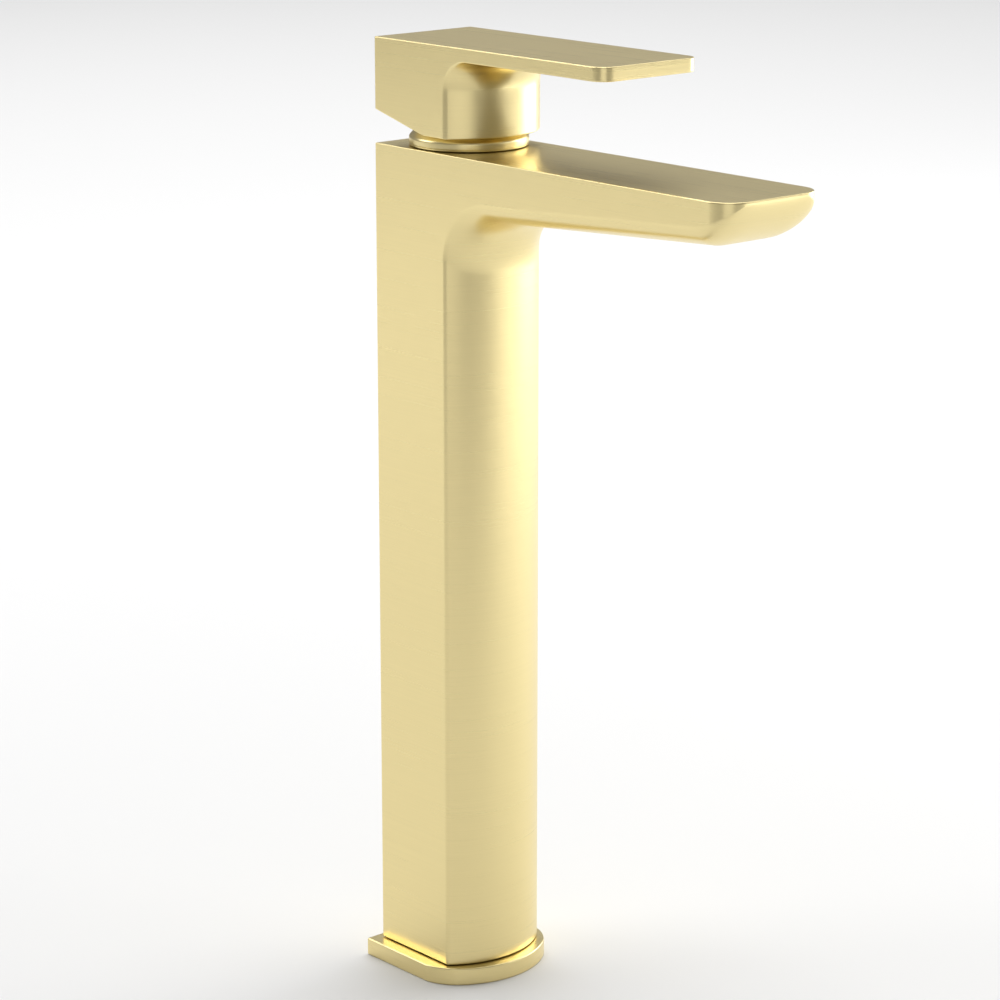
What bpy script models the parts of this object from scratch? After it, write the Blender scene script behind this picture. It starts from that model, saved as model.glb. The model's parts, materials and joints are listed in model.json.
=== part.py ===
"""Tall single-lever basin mixer: a deck-mounted column with a flat spout and a flat lever on top.

Frame: the origin is on the cartridge axis at the deck plane, +Z is up and the spout points to -Y.
Each sub-part has its own function, named size values and material. All lengths are in metres.
"""

from math import asin, atan, cos, pi, radians, sin, sqrt

import bmesh
import bpy
from mathutils import Matrix, Vector

MM = 0.001

# Clearances
GAP = 0.3 * MM  # between faces that would touch
THREAD_GAP = 0.3 * MM  # radial, where a thread is drawn plain
CUT_THROUGH = 1.0 * MM  # how far a cutter passes beyond the face that it opens

# Column and spout, one casting
BASE_THICKNESS = 6.0 * MM
BODY_BOTTOM = BASE_THICKNESS + GAP
BODY_TOP = 280.0 * MM
COLUMN_HALF_WIDTH = 20.3 * MM
COLUMN_REAR = 22.8 * MM
COLUMN_SIDE_EDGE = -11.3 * MM  # y where the flat side meets the round front
COLUMN_FRONT = -18.7 * MM  # y of the round front at the middle
COLUMN_WALL = 3.0 * MM
SPOUT_TIP = -137.0 * MM
SPOUT_CORNER = 8.3 * MM  # plan radius of the tip's corners
SPOUT_ROOT_DEPTH = 22.4 * MM  # from the top down to the underside, at the cartridge axis
SPOUT_TAPER = 0.0615  # rise of the underside per length towards the tip
SPOUT_SIDE_INSET = 12.0 * MM  # soft lower edge, measured inwards
SPOUT_SIDE_RISE = 7.0 * MM  # soft lower edge, measured upwards
BOW_LENGTH = 13.0 * MM  # stretch over which the underside curves up to the tip
SOFTNESS = 1.6  # power of both curves: 2 is an ellipse, less is flatter
TIP_LIP = 0.7 * MM
UNDER_FILLET = 19.0 * MM  # between the round front and the underside

# Inner column: the foot's spigot fills the narrower way, and the screws stand in its rear corners
SPIGOT_CLEARANCE = 0.7 * MM
SPIGOT_RADIUS = min(COLUMN_HALF_WIDTH, -COLUMN_FRONT) - COLUMN_WALL - SPIGOT_CLEARANCE
SCREW_INSET = 3.9 * MM  # from the column's inner walls to the axis of a block screw
LUG_SIDE = 2 * SCREW_INSET

# Base plate and its seal
BASE_MARGIN_SIDE = 4.7 * MM
BASE_MARGIN_REAR = 2.8 * MM
BASE_MARGIN_FRONT = 3.8 * MM
BASE_HALF_WIDTH = COLUMN_HALF_WIDTH + BASE_MARGIN_SIDE
BASE_REAR = COLUMN_REAR + BASE_MARGIN_REAR
BASE_SIDE_EDGE = COLUMN_SIDE_EDGE + 1.7 * MM
BASE_FRONT = COLUMN_FRONT - BASE_MARGIN_FRONT
BASE_CORNER = 5.0 * MM
BASE_EDGE = 0.5 * MM
BASE_OPENING_RADIUS = SPIGOT_RADIUS + 0.4 * MM
GASKET_RADIUS = BASE_OPENING_RADIUS + 3.6 * MM
GASKET_WIDTH = 2.4 * MM
GASKET_HEIGHT = 1.6 * MM

# Cartridge radii, from the housing inwards and outwards
HOUSING_RADIUS = 12.3 * MM
HOUSING_BORE = HOUSING_RADIUS - 1.6 * MM
HOUSING_MOUTH = HOUSING_BORE - 3.0 * MM
HOUSING_ROOF = 2.0 * MM
CHAMBER_RADIUS = HOUSING_RADIUS + 1.9 * MM
CHAMBER_RING_SECTION = 0.55 * MM
PORT_X = 5.6 * MM
PORT_Y = 1.0 * MM
PORT_RADIUS = 2.2 * MM
SEAL_HEIGHT = 0.6 * MM
SEAL_RADIUS = PORT_RADIUS + 1.6 * MM
CARTRIDGE_BASE_HEIGHT = 2.8 * MM
OUTLET_WIDTH = 6.0 * MM
DISC_THICKNESS = 3.3 * MM
MOVING_DISC_RADIUS = HOUSING_BORE - 2.5 * MM
MOVING_DISC_OFFSET = 1.0 * MM
MIXING_RECESS_RADIUS = MOVING_DISC_RADIUS - 3.6 * MM
MIXING_RECESS_DEPTH = 1.6 * MM
DRIVER_THICKNESS = 3.7 * MM
CARRIER_NECK_RADIUS = HOUSING_MOUTH - 0.4 * MM
PIN_RADIUS = 1.5 * MM
PIN_LENGTH = 2 * (HOUSING_BORE - 2.2 * MM)

# Stem
STEM_SIDE = 7.0 * MM
STEM_EDGE = 0.5 * MM
STEM_NECK_RADIUS = 1.3 * MM
STEM_BALL_RADIUS = 1.9 * MM
BALL_CLEARANCE = 0.4 * MM
DRIVER_POCKET = STEM_BALL_RADIUS + BALL_CLEARANCE
DRIVER_POCKET_FLOOR = 2 * GAP
CARRIER_SLOT_WIDTH = STEM_SIDE + 0.8 * MM
CARRIER_SLOT_FRONT = -STEM_SIDE / 2 - 1.5 * MM
CARRIER_SLOT_REAR = STEM_SIDE / 2 + 2.7 * MM

# Retaining nut and the visible collar
NUT_THICKNESS = 6.6 * MM
NUT_RECESS = 0.9 * MM  # how far the nut's shoulder sits below the body's top
NUT_BORE = HOUSING_RADIUS - 1.9 * MM
NUT_NECK_RADIUS = HOUSING_RADIUS - 0.3 * MM
NUT_SLOT_WIDTH = 3.0 * MM
NUT_SLOT_DEPTH = 1.2 * MM
NUT_SLOT_REACH = 3.0 * MM  # half length of each slot's cutter along y
COLLAR_WALL_HEIGHT = 3.0 * MM
COLLAR_HEIGHT = 7.3 * MM
COLLAR_MARGIN = 1.0 * MM
HANDLE_OVERHANG = 2.5 * MM  # how far the handle's block stands ahead of the column's front
COLLAR_RADIUS = min(COLUMN_HALF_WIDTH, COLUMN_REAR, HANDLE_OVERHANG - COLUMN_FRONT) - COLLAR_MARGIN

# Heights, from the body's top up to the collar and down through the cartridge to its seat
COLLAR_TOP = BODY_TOP + COLLAR_HEIGHT
NUT_NECK_TOP = BODY_TOP + 2.6 * MM
NUT_SHOULDER = BODY_TOP - NUT_RECESS
NUT_FOOT = NUT_SHOULDER - NUT_THICKNESS
HOUSING_TOP = NUT_FOOT - GAP
PIVOT_HEIGHT = HOUSING_TOP - 5.7 * MM
STEM_FOOT = PIVOT_HEIGHT - 3.3 * MM
STEM_BALL_HEIGHT = STEM_FOOT - 1.8 * MM
DRIVER_FLOOR = STEM_BALL_HEIGHT - DRIVER_POCKET - DRIVER_POCKET_FLOOR
CARRIER_FLOOR = DRIVER_FLOOR + DRIVER_THICKNESS + GAP
MOVING_DISC_FLOOR = DRIVER_FLOOR - GAP - DISC_THICKNESS
FIXED_DISC_FLOOR = MOVING_DISC_FLOOR - GAP - DISC_THICKNESS
CARTRIDGE_FLOOR = FIXED_DISC_FLOOR - GAP - CARTRIDGE_BASE_HEIGHT
SEAT_HEIGHT = CARTRIDGE_FLOOR - 2 * GAP - SEAL_HEIGHT
BRIDGE_THICKNESS = 11.0 * MM
BRIDGE_BOTTOM = SEAT_HEIGHT - BRIDGE_THICKNESS
DOME_START = BODY_TOP + COLLAR_WALL_HEIGHT
DOME_RADIUS = sqrt(COLLAR_RADIUS**2 + (DOME_START - PIVOT_HEIGHT) ** 2)

# Handle
HANDLE_HEIGHT = 29.35 * MM
HANDLE_BOTTOM = DOME_START + 1.75 * MM
HANDLE_TOP = HANDLE_BOTTOM + HANDLE_HEIGHT
HANDLE_REAR = COLUMN_REAR - 0.1 * MM
HANDLE_SIDE_EDGE = COLUMN_SIDE_EDGE
HANDLE_FRONT = COLUMN_FRONT - HANDLE_OVERHANG
HANDLE_CHAMFER_START = -1.0 * MM
HANDLE_CHAMFER_RISE = 6.1 * MM
HANDLE_FILLET = 10.0 * MM
HANDLE_WALL = 2.0 * MM
LEVER_TIP = -84.0 * MM
LEVER_THICKNESS = 4.45 * MM
LEVER_CORNER = 4.8 * MM
HANDLE_POCKET_RADIUS = min(COLUMN_HALF_WIDTH, -HANDLE_FRONT) - HANDLE_WALL
HANDLE_POCKET_TOP = HANDLE_BOTTOM + 11.25 * MM
STEM_TOP = HANDLE_TOP - 9.1 * MM
GRUB_HEIGHT = (HANDLE_POCKET_TOP + STEM_TOP) / 2
GRUB_RADIUS = 1.7 * MM
GRUB_SOCKET_RADIUS = 0.95 * MM
GRUB_SOCKET_DEPTH = 2.0 * MM
CAP_RADIUS = 2.9 * MM
CAP_THICKNESS = 5.0 * MM
CAP_RECESS = 0.3 * MM  # how far the cap sits inside the rear face
CAP_REAR = HANDLE_REAR - CAP_RECESS
CAP_FRONT = CAP_REAR - CAP_THICKNESS
GRUB_START = STEM_SIDE / 2 + GAP
GRUB_END = CAP_FRONT - 4.1 * MM

# Waterway and outlet
OUTLET_Y = -110.0 * MM
WATERWAY_WIDTH = 16.0 * MM
WATERWAY_SILL = 3.0 * MM  # from the underside at the outlet up to the waterway's floor
WATERWAY_ROOF = 5.5 * MM  # from the waterway up to the body's top
AERATOR_BORE = 9.2 * MM
AERATOR_BORE_DEPTH = 8.6 * MM
AERATOR_RECESS = 0.4 * MM
AERATOR_HEIGHT = 5.6 * MM
AERATOR_WALL = 1.5 * MM
AERATOR_SILL = 0.9 * MM
AERATOR_HOLE_RADIUS = 1.0 * MM
AERATOR_HOLE_RING = AERATOR_BORE - 4.9 * MM
AERATOR_HOLES_AROUND = 6
INSERT_THICKNESS = 2.4 * MM
WASHER_HEIGHT = 1.4 * MM

# Supply tubes and the inlet block in the foot of the column
TUBE_RADIUS = PORT_X - 1.4 * MM
TUBE_WALL = 1.0 * MM
TUBE_DEPTH_IN_BRIDGE = 6.0 * MM
TUBE_DEPTH_IN_BLOCK = 9.0 * MM
TUBE_SEAL_SECTION = 0.45 * MM
TUBE_SEAL_POCKET = 2.0 * MM
SEAL_POCKET_RADIUS = TUBE_RADIUS + 2 * TUBE_SEAL_SECTION + 2 * GAP
BLOCK_BOTTOM = BODY_BOTTOM + 1.7 * MM
BLOCK_TOP = BLOCK_BOTTOM + 26.0 * MM
SPIGOT_BOTTOM = 1.0 * MM
SOCKET_RADIUS = PORT_X - 0.8 * MM
SOCKET_DEPTH = 13.0 * MM
BLOCK_SCREW_X = COLUMN_HALF_WIDTH - COLUMN_WALL - SCREW_INSET
BLOCK_SCREW_Y = COLUMN_REAR - COLUMN_WALL - SCREW_INSET
BLOCK_SCREW_RADIUS = 1.8 * MM
BLOCK_SCREW_HEAD_RADIUS = 3.2 * MM
BLOCK_SCREW_HEAD_HEIGHT = 2.4 * MM
BLOCK_SCREW_TOP = BLOCK_TOP + 11.0 * MM

# Deck fixing
DECK_THICKNESS = 20.0 * MM
STUD_RADIUS = 3.0 * MM
STUD_Y = SPIGOT_RADIUS - 3.7 * MM
STUD_TOP = BLOCK_BOTTOM + 16.0 * MM
STUD_BOTTOM = -DECK_THICKNESS - 38.0 * MM
HORSESHOE_RADIUS = 24.0 * MM
HORSESHOE_GAP_WIDTH = 21.0 * MM
HORSESHOE_GAP_END = STUD_Y - 4.8 * MM
RUBBER_THICKNESS = 3.0 * MM
PLATE_THICKNESS = 2.5 * MM
FIXING_NUT_RADIUS = 6.4 * MM
FIXING_NUT_HEIGHT = 9.0 * MM

ROUND_STEPS = 32
SMALL_STEPS = 16

BRASS = ((0.78, 0.60, 0.30), 0.32, 1.0)
RAW_BRASS = ((0.72, 0.56, 0.28), 0.45, 1.0)
STEEL = ((0.62, 0.62, 0.62), 0.35, 1.0)
RUBBER = ((0.03, 0.03, 0.03), 0.85, 0.0)
CERAMIC = ((0.86, 0.85, 0.80), 0.25, 0.0)
WHITE_PLASTIC = ((0.82, 0.82, 0.80), 0.45, 0.0)
GREY_PLASTIC = ((0.35, 0.37, 0.40), 0.5, 0.0)


# ---------------------------------------------------------------- helpers


def clear_scene():
    """Removes whatever the file starts with."""
    for obj in list(bpy.data.objects):
        bpy.data.objects.remove(obj, do_unlink=True)


def new_collection(name):
    collection = bpy.data.collections.new(name)
    bpy.context.scene.collection.children.link(collection)
    return collection


def add_object(name, bm, collection):
    """Turns a bmesh into an object in a collection."""
    mesh = bpy.data.meshes.new(name)
    bm.to_mesh(mesh)
    bm.free()
    obj = bpy.data.objects.new(name, mesh)
    collection.objects.link(obj)
    return obj


def finish(obj, look):
    """Gives an object its own material and smooth round faces."""
    color, roughness, metallic = look
    material = bpy.data.materials.new(obj.name)
    material.use_nodes = True
    shader = material.node_tree.nodes["Principled BSDF"]
    shader.inputs["Base Color"].default_value = (*color, 1.0)
    shader.inputs["Roughness"].default_value = roughness
    shader.inputs["Metallic"].default_value = metallic
    obj.data.materials.clear()
    obj.data.materials.append(material)
    obj.data.shade_smooth()
    obj.data.set_sharp_from_angle(angle=radians(30))
    return obj


def block(name, low, high, collection):
    """A box between two corners."""
    bm = bmesh.new()
    bmesh.ops.create_cube(bm, size=1.0)
    low, high = Vector(low), Vector(high)
    bmesh.ops.scale(bm, vec=high - low, verts=bm.verts)
    obj = add_object(name, bm, collection)
    obj.location = (low + high) / 2
    return obj


def rod(name, radius, bottom, top, collection, x=0.0, y=0.0, steps=ROUND_STEPS):
    """An upright cylinder between two heights."""
    bm = bmesh.new()
    bmesh.ops.create_cone(
        bm, cap_ends=True, segments=steps, radius1=radius, radius2=radius, depth=top - bottom
    )
    obj = add_object(name, bm, collection)
    obj.location = (x, y, (bottom + top) / 2)
    return obj


def turned(name, profile, collection, steps=ROUND_STEPS):
    """A turned piece: the profile is a closed loop of (radius, height), down its outer side first."""
    bm = bmesh.new()
    points = [bm.verts.new((radius, 0.0, height)) for radius, height in profile]
    for start, end in zip(points, points[1:] + points[:1]):
        bm.edges.new((start, end))
    obj = add_object(name, bm, collection)
    screw = obj.modifiers.new("turn", "SCREW")
    screw.steps = steps
    screw.render_steps = steps
    screw.use_merge_vertices = True
    screw.merge_threshold = 0.00001
    return obj


def tube_profile(outer, inner, top, bottom):
    return [(outer, top), (outer, bottom), (inner, bottom), (inner, top)]


def seal_ring(name, radius, section, height, collection, x=0.0, y=0.0, steps=24):
    """A round-section sealing ring lying flat."""
    sides = 8
    loop = [
        (radius + section * cos(-2 * pi * k / sides), height + section * sin(-2 * pi * k / sides))
        for k in range(sides)
    ]
    obj = turned(name, loop, collection, steps)
    obj.location = (x, y, 0.0)
    return obj


def extruded(name, outline, bottom, top, collection):
    """A flat outline of (x, y) points made into a slab between two heights."""
    bm = bmesh.new()
    face = bm.faces.new([bm.verts.new((x, y, bottom)) for x, y in outline])
    raised = bmesh.ops.extrude_face_region(bm, geom=[face])["geom"]
    bmesh.ops.translate(
        bm,
        vec=(0.0, 0.0, top - bottom),
        verts=[part for part in raised if isinstance(part, bmesh.types.BMVert)],
    )
    bmesh.ops.recalc_face_normals(bm, faces=bm.faces)
    return add_object(name, bm, collection)


def lofted(name, stations, section_at, collection):
    """A solid whose closed (y, z) section changes along x; every section has as many points."""
    bm = bmesh.new()
    rings = [[bm.verts.new((x, y, z)) for y, z in section_at(x)] for x in stations]
    for ring, following in zip(rings, rings[1:]):
        for k in range(len(ring)):
            j = (k + 1) % len(ring)
            bm.faces.new((ring[k], ring[j], following[j], following[k]))
    caps = [bm.faces.new(rings[0]), bm.faces.new(rings[-1])]
    bmesh.ops.recalc_face_normals(bm, faces=bm.faces)
    bmesh.ops.triangulate(bm, faces=caps, ngon_method="EAR_CLIP")
    return add_object(name, bm, collection)


def cut(obj, *cutters):
    """Takes each cutter's shape out of an object."""
    for cutter in cutters:
        boolean = obj.modifiers.new(cutter.name, "BOOLEAN")
        boolean.operation = "DIFFERENCE"
        boolean.solver = "EXACT"
        boolean.object = cutter
        cutter.hide_render = True
        cutter.display_type = "WIRE"


def join(obj, *others):
    """Adds each other shape to an object."""
    for other in others:
        boolean = obj.modifiers.new(other.name, "BOOLEAN")
        boolean.operation = "UNION"
        boolean.solver = "EXACT"
        boolean.object = other
        other.hide_render = True
        other.display_type = "WIRE"


def turn_rod(obj, axis):
    """Lays an upright rod along x or y."""
    obj.rotation_euler = (0.0, pi / 2, 0.0) if axis == "x" else (pi / 2, 0.0, 0.0)


# ---------------------------------------------------------------- shared outlines


def round_front(x, half_width, side_edge, front):
    """y of the round front at x: an arc from one side edge over the middle to the other."""
    sag = side_edge - front
    radius = (half_width**2 + sag**2) / (2 * sag)
    return front + radius - sqrt(radius**2 - x**2)


def plan_outline(half_width, rear, side_edge, front, steps=12):
    """Plan of the column family: square rear corners and a round front."""
    arc = []
    for k in range(steps + 1):
        x = -half_width + 2 * half_width * k / steps
        arc.append((x, round_front(x, half_width, side_edge, front)))
    return [(half_width, rear), (-half_width, rear)] + arc


def corner_setback(x, half_width, radius):
    """How far a rounded plan corner lies behind the straight front edge at x."""
    beyond = max(0.0, abs(x) - (half_width - radius))
    return radius - sqrt(max(0.0, radius**2 - beyond**2))


def loft_stations(half_width, flat, flat_steps, round_steps):
    """x stations from side to side: even over the flat, closing up around the corner."""
    right = [flat * k / flat_steps for k in range(flat_steps + 1)]
    for k in range(1, round_steps + 1):
        right.append(flat + (half_width - flat) * sin(k * pi / 2 / round_steps))
    return [-x for x in reversed(right[1:])] + right


def spout_half_width(y):
    """Half width of the spout at y, narrowing around the tip's corners."""
    beyond = max(0.0, (SPOUT_TIP + SPOUT_CORNER) - y)
    return COLUMN_HALF_WIDTH - SPOUT_CORNER + sqrt(max(0.0, SPOUT_CORNER**2 - beyond**2))


def soft_rise(share):
    """Share of the rise reached at a share of a curve's length, level at 0 and upright at 1."""
    share = min(1.0, max(0.0, share))
    return 1.0 - (1.0 - share**SOFTNESS) ** (1 / SOFTNESS)


def spout_underside(x, y):
    """Height of the spout's underside: a tapered plane, soft at the sides and bowed up at the tip."""
    plane = BODY_TOP - SPOUT_ROOT_DEPTH - SPOUT_TAPER * y
    room = BODY_TOP - TIP_LIP - plane
    bow = soft_rise((SPOUT_TIP + BOW_LENGTH - y) / BOW_LENGTH)
    side = soft_rise((abs(x) - spout_half_width(y) + SPOUT_SIDE_INSET) / SPOUT_SIDE_INSET)
    return plane + room * bow + SPOUT_SIDE_RISE * side * (1.0 - bow)


def outlet_tilt():
    """Tilt of the outlet's axis that sets it square to the underside."""
    return atan(SPOUT_TAPER)


# ---------------------------------------------------------------- body


def body_section(x):
    """(y, z) section of the column and spout at x."""
    fillet_steps, bow_steps = 7, 8
    front = round_front(x, COLUMN_HALF_WIDTH, COLUMN_SIDE_EDGE, COLUMN_FRONT)
    tip = SPOUT_TIP + corner_setback(x, COLUMN_HALF_WIDTH, SPOUT_CORNER)
    fillet_end = front - UNDER_FILLET
    fillet_base = spout_underside(x, fillet_end) - UNDER_FILLET
    bow_start = tip + BOW_LENGTH
    section = [(COLUMN_REAR, BODY_BOTTOM), (front, BODY_BOTTOM)]
    for k in range(fillet_steps + 1):
        angle = pi / 2 * k / fillet_steps
        y = front - UNDER_FILLET * (1 - cos(angle))
        section.append((y, fillet_base + UNDER_FILLET * sin(angle)))
    for k in range(bow_steps + 1):
        y = bow_start - (bow_start - tip) * sin(pi / 2 * k / bow_steps)
        section.append((y, spout_underside(x, y)))
    return section + [(tip, BODY_TOP), (COLUMN_REAR, BODY_TOP)]


def column_hollow(cutters):
    """Inside of the column: open at the foot, with a screw lug left in each rear corner."""
    half, rear = COLUMN_HALF_WIDTH - COLUMN_WALL, COLUMN_REAR - COLUMN_WALL
    edge, front = COLUMN_SIDE_EDGE + COLUMN_WALL / 2, COLUMN_FRONT + COLUMN_WALL
    hollow = extruded("column_hollow", plan_outline(half, rear, edge, front), 0.0, BRIDGE_BOTTOM, cutters)
    inner, outer = half - LUG_SIDE, half + CUT_THROUGH
    for left, right, label in ((-outer, -inner, "hot"), (inner, outer, "cold")):
        low = (left, rear - LUG_SIDE, BLOCK_TOP + GAP)
        high = (right, rear + CUT_THROUGH, BRIDGE_BOTTOM + CUT_THROUGH)
        cut(hollow, block(f"{label}_lug", low, high, cutters))
    return hollow


def make_body(parts, cutters):
    stations = loft_stations(
        COLUMN_HALF_WIDTH, COLUMN_HALF_WIDTH - SPOUT_CORNER, flat_steps=3, round_steps=6
    )
    body = lofted("body_casting", stations, body_section, parts)
    cut(body, column_hollow(cutters))
    chamber = rod("chamber", CHAMBER_RADIUS, SEAT_HEIGHT, BODY_TOP + CUT_THROUGH, cutters)
    waterway = block(
        "waterway",
        (-WATERWAY_WIDTH / 2, OUTLET_Y, spout_underside(0.0, OUTLET_Y) + WATERWAY_SILL),
        (WATERWAY_WIDTH / 2, 0.0, BODY_TOP - WATERWAY_ROOF),
        cutters,
    )
    cut(body, chamber, waterway, outlet_bore(cutters))
    for side, label in ((-1, "hot"), (1, "cold")):
        x = side * PORT_X
        low = BRIDGE_BOTTOM - CUT_THROUGH
        port = rod(f"{label}_port", PORT_RADIUS, low, SEAT_HEIGHT + CUT_THROUGH, cutters, x, PORT_Y,
                   SMALL_STEPS)
        tube_end = BRIDGE_BOTTOM + TUBE_DEPTH_IN_BRIDGE + GAP
        tube_hole = rod(f"{label}_tube_hole", TUBE_RADIUS + THREAD_GAP, low, tube_end, cutters, x,
                        PORT_Y)
        seal_top = BRIDGE_BOTTOM + TUBE_SEAL_POCKET
        pocket = rod(f"{label}_seal_pocket", SEAL_POCKET_RADIUS, low, seal_top, cutters, x, PORT_Y)
        screw_hole = rod(f"{label}_lug_hole", BLOCK_SCREW_RADIUS + THREAD_GAP, BLOCK_TOP - CUT_THROUGH,
                         BLOCK_SCREW_TOP + GAP, cutters, side * BLOCK_SCREW_X, BLOCK_SCREW_Y,
                         SMALL_STEPS)
        cut(body, port, tube_hole, pocket, screw_hole)
    finish(body, BRASS)


def outlet_bore(cutters):
    """Cutter for the aerator, square to the underside."""
    bore = rod("outlet_bore", AERATOR_BORE, -CUT_THROUGH, AERATOR_BORE_DEPTH, cutters)
    place_at_outlet(bore, (AERATOR_BORE_DEPTH - CUT_THROUGH) / 2)
    return bore


def place_at_outlet(obj, height):
    """Sets a piece on the tilted outlet axis, at a height above the underside."""
    tilt = outlet_tilt()
    foot = Vector((0.0, OUTLET_Y, spout_underside(0.0, OUTLET_Y)))
    obj.rotation_euler = (-tilt, 0.0, 0.0)
    obj.location = foot + Matrix.Rotation(-tilt, 3, "X") @ Vector((0.0, 0.0, height))


# ---------------------------------------------------------------- base


def base_outline():
    """Base plan: square rear corners, a round front, and front corners bent over from side to front."""
    corner_steps, front_steps = 4, 11
    inner = BASE_HALF_WIDTH - BASE_CORNER
    start = Vector((BASE_HALF_WIDTH, BASE_SIDE_EDGE + BASE_CORNER))
    corner = Vector((BASE_HALF_WIDTH, BASE_SIDE_EDGE))
    end = Vector((inner, round_front(inner, BASE_HALF_WIDTH, BASE_SIDE_EDGE, BASE_FRONT)))
    bend = []
    for k in range(corner_steps + 1):
        t = k / corner_steps
        bend.append(tuple(start * (1 - t) ** 2 + corner * 2 * t * (1 - t) + end * t**2))
    front = []
    for k in range(1, front_steps):
        x = inner * (1 - 2 * k / front_steps)
        front.append((x, round_front(x, BASE_HALF_WIDTH, BASE_SIDE_EDGE, BASE_FRONT)))
    mirrored = [(-x, y) for x, y in reversed(bend)]
    rear = [(-BASE_HALF_WIDTH, BASE_REAR), (BASE_HALF_WIDTH, BASE_REAR)]
    return bend + front + mirrored + rear


def make_base(parts, cutters):
    plate = extruded("base_plate", base_outline(), 0.0, BASE_THICKNESS, parts)
    bevel = plate.modifiers.new("edge", "BEVEL")
    bevel.width = BASE_EDGE
    bevel.segments = 2
    bevel.limit_method = "ANGLE"
    bevel.angle_limit = radians(60)
    opening = rod(
        "base_opening", BASE_OPENING_RADIUS, -CUT_THROUGH, BASE_THICKNESS + CUT_THROUGH, cutters
    )
    half = GASKET_WIDTH / 2 + GAP
    groove = turned(
        "gasket_groove",
        tube_profile(GASKET_RADIUS + half, GASKET_RADIUS - half, GASKET_HEIGHT + GAP, -CUT_THROUGH),
        cutters,
    )
    cut(plate, opening, groove)
    finish(plate, BRASS)
    gasket = turned(
        "base_gasket",
        tube_profile(
            GASKET_RADIUS + GASKET_WIDTH / 2, GASKET_RADIUS - GASKET_WIDTH / 2, GASKET_HEIGHT, 0.0
        ),
        parts,
    )
    finish(gasket, RUBBER)


# ---------------------------------------------------------------- inlets


def make_inlet_block(parts, cutters):
    """Machined block in the foot of the column: hose sockets, tube sockets and the stud's thread."""
    half = COLUMN_HALF_WIDTH - COLUMN_WALL - GAP
    rear = COLUMN_REAR - COLUMN_WALL - GAP
    edge = COLUMN_SIDE_EDGE + COLUMN_WALL / 2 + GAP
    front = COLUMN_FRONT + COLUMN_WALL + GAP
    outline = plan_outline(half, rear, edge, front)
    inlet = extruded("inlet_block", outline, BLOCK_BOTTOM, BLOCK_TOP, parts)
    join(inlet, rod("spigot", SPIGOT_RADIUS, SPIGOT_BOTTOM, BLOCK_BOTTOM + CUT_THROUGH, cutters))
    low = SPIGOT_BOTTOM - CUT_THROUGH
    for side, label in ((-1, "hot"), (1, "cold")):
        x = side * PORT_X
        socket = rod(f"{label}_socket", SOCKET_RADIUS, low, SPIGOT_BOTTOM + SOCKET_DEPTH, cutters, x,
                     PORT_Y)
        way = rod(f"{label}_way", PORT_RADIUS, low, BLOCK_TOP + CUT_THROUGH, cutters, x, PORT_Y,
                  SMALL_STEPS)
        tube_hole = rod(f"{label}_block_hole", TUBE_RADIUS + THREAD_GAP,
                        BLOCK_TOP - TUBE_DEPTH_IN_BLOCK - GAP, BLOCK_TOP + CUT_THROUGH, cutters, x,
                        PORT_Y)
        seal_pocket = rod(f"{label}_block_pocket", SEAL_POCKET_RADIUS, BLOCK_TOP - TUBE_SEAL_POCKET,
                          BLOCK_TOP + CUT_THROUGH, cutters, x, PORT_Y)
        screw_x = side * BLOCK_SCREW_X
        screw_hole = rod(f"{label}_screw_hole", BLOCK_SCREW_RADIUS + THREAD_GAP, 0.0,
                         BLOCK_TOP + CUT_THROUGH, cutters, screw_x, BLOCK_SCREW_Y, SMALL_STEPS)
        head_hole = rod(f"{label}_head_hole", BLOCK_SCREW_HEAD_RADIUS + THREAD_GAP, 0.0,
                        BLOCK_BOTTOM + BLOCK_SCREW_HEAD_HEIGHT + GAP, cutters, screw_x,
                        BLOCK_SCREW_Y, SMALL_STEPS)
        cut(inlet, socket, way, tube_hole, seal_pocket, screw_hole, head_hole)
    stud_hole = rod("stud_hole", STUD_RADIUS + THREAD_GAP, low, STUD_TOP + GAP, cutters, 0.0, STUD_Y,
                    SMALL_STEPS)
    cut(inlet, stud_hole)
    finish(inlet, RAW_BRASS)


def make_block_screw(side, label, parts, cutters):
    """Socket-head screw that holds the inlet block up against a lug of the column."""
    head_top = BLOCK_BOTTOM + BLOCK_SCREW_HEAD_HEIGHT
    profile = [
        (0.0, BLOCK_SCREW_TOP),
        (BLOCK_SCREW_RADIUS, BLOCK_SCREW_TOP),
        (BLOCK_SCREW_RADIUS, head_top),
        (BLOCK_SCREW_HEAD_RADIUS, head_top),
        (BLOCK_SCREW_HEAD_RADIUS, BLOCK_BOTTOM),
        (0.0, BLOCK_BOTTOM),
    ]
    screw = solid_of_profile(f"block_screw_{label}", profile, parts, SMALL_STEPS)
    screw.location = (side * BLOCK_SCREW_X, BLOCK_SCREW_Y, 0.0)
    socket_radius = BLOCK_SCREW_HEAD_RADIUS / 2
    socket = rod(f"{label}_screw_socket", socket_radius, BLOCK_BOTTOM - CUT_THROUGH,
                 BLOCK_BOTTOM + BLOCK_SCREW_HEAD_HEIGHT / 2, cutters, side * BLOCK_SCREW_X,
                 BLOCK_SCREW_Y, steps=6)
    cut(screw, socket)
    finish(screw, STEEL)


def solid_of_profile(name, profile, collection, steps=ROUND_STEPS):
    """A turned solid: an open profile from the axis, down the outer side, back to the axis."""
    bm = bmesh.new()
    points = [bm.verts.new((radius, 0.0, height)) for radius, height in profile]
    for start, end in zip(points, points[1:]):
        bm.edges.new((start, end))
    obj = add_object(name, bm, collection)
    screw = obj.modifiers.new("turn", "SCREW")
    screw.steps = steps
    screw.render_steps = steps
    screw.use_merge_vertices = True
    screw.merge_threshold = 0.00001
    return obj


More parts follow.
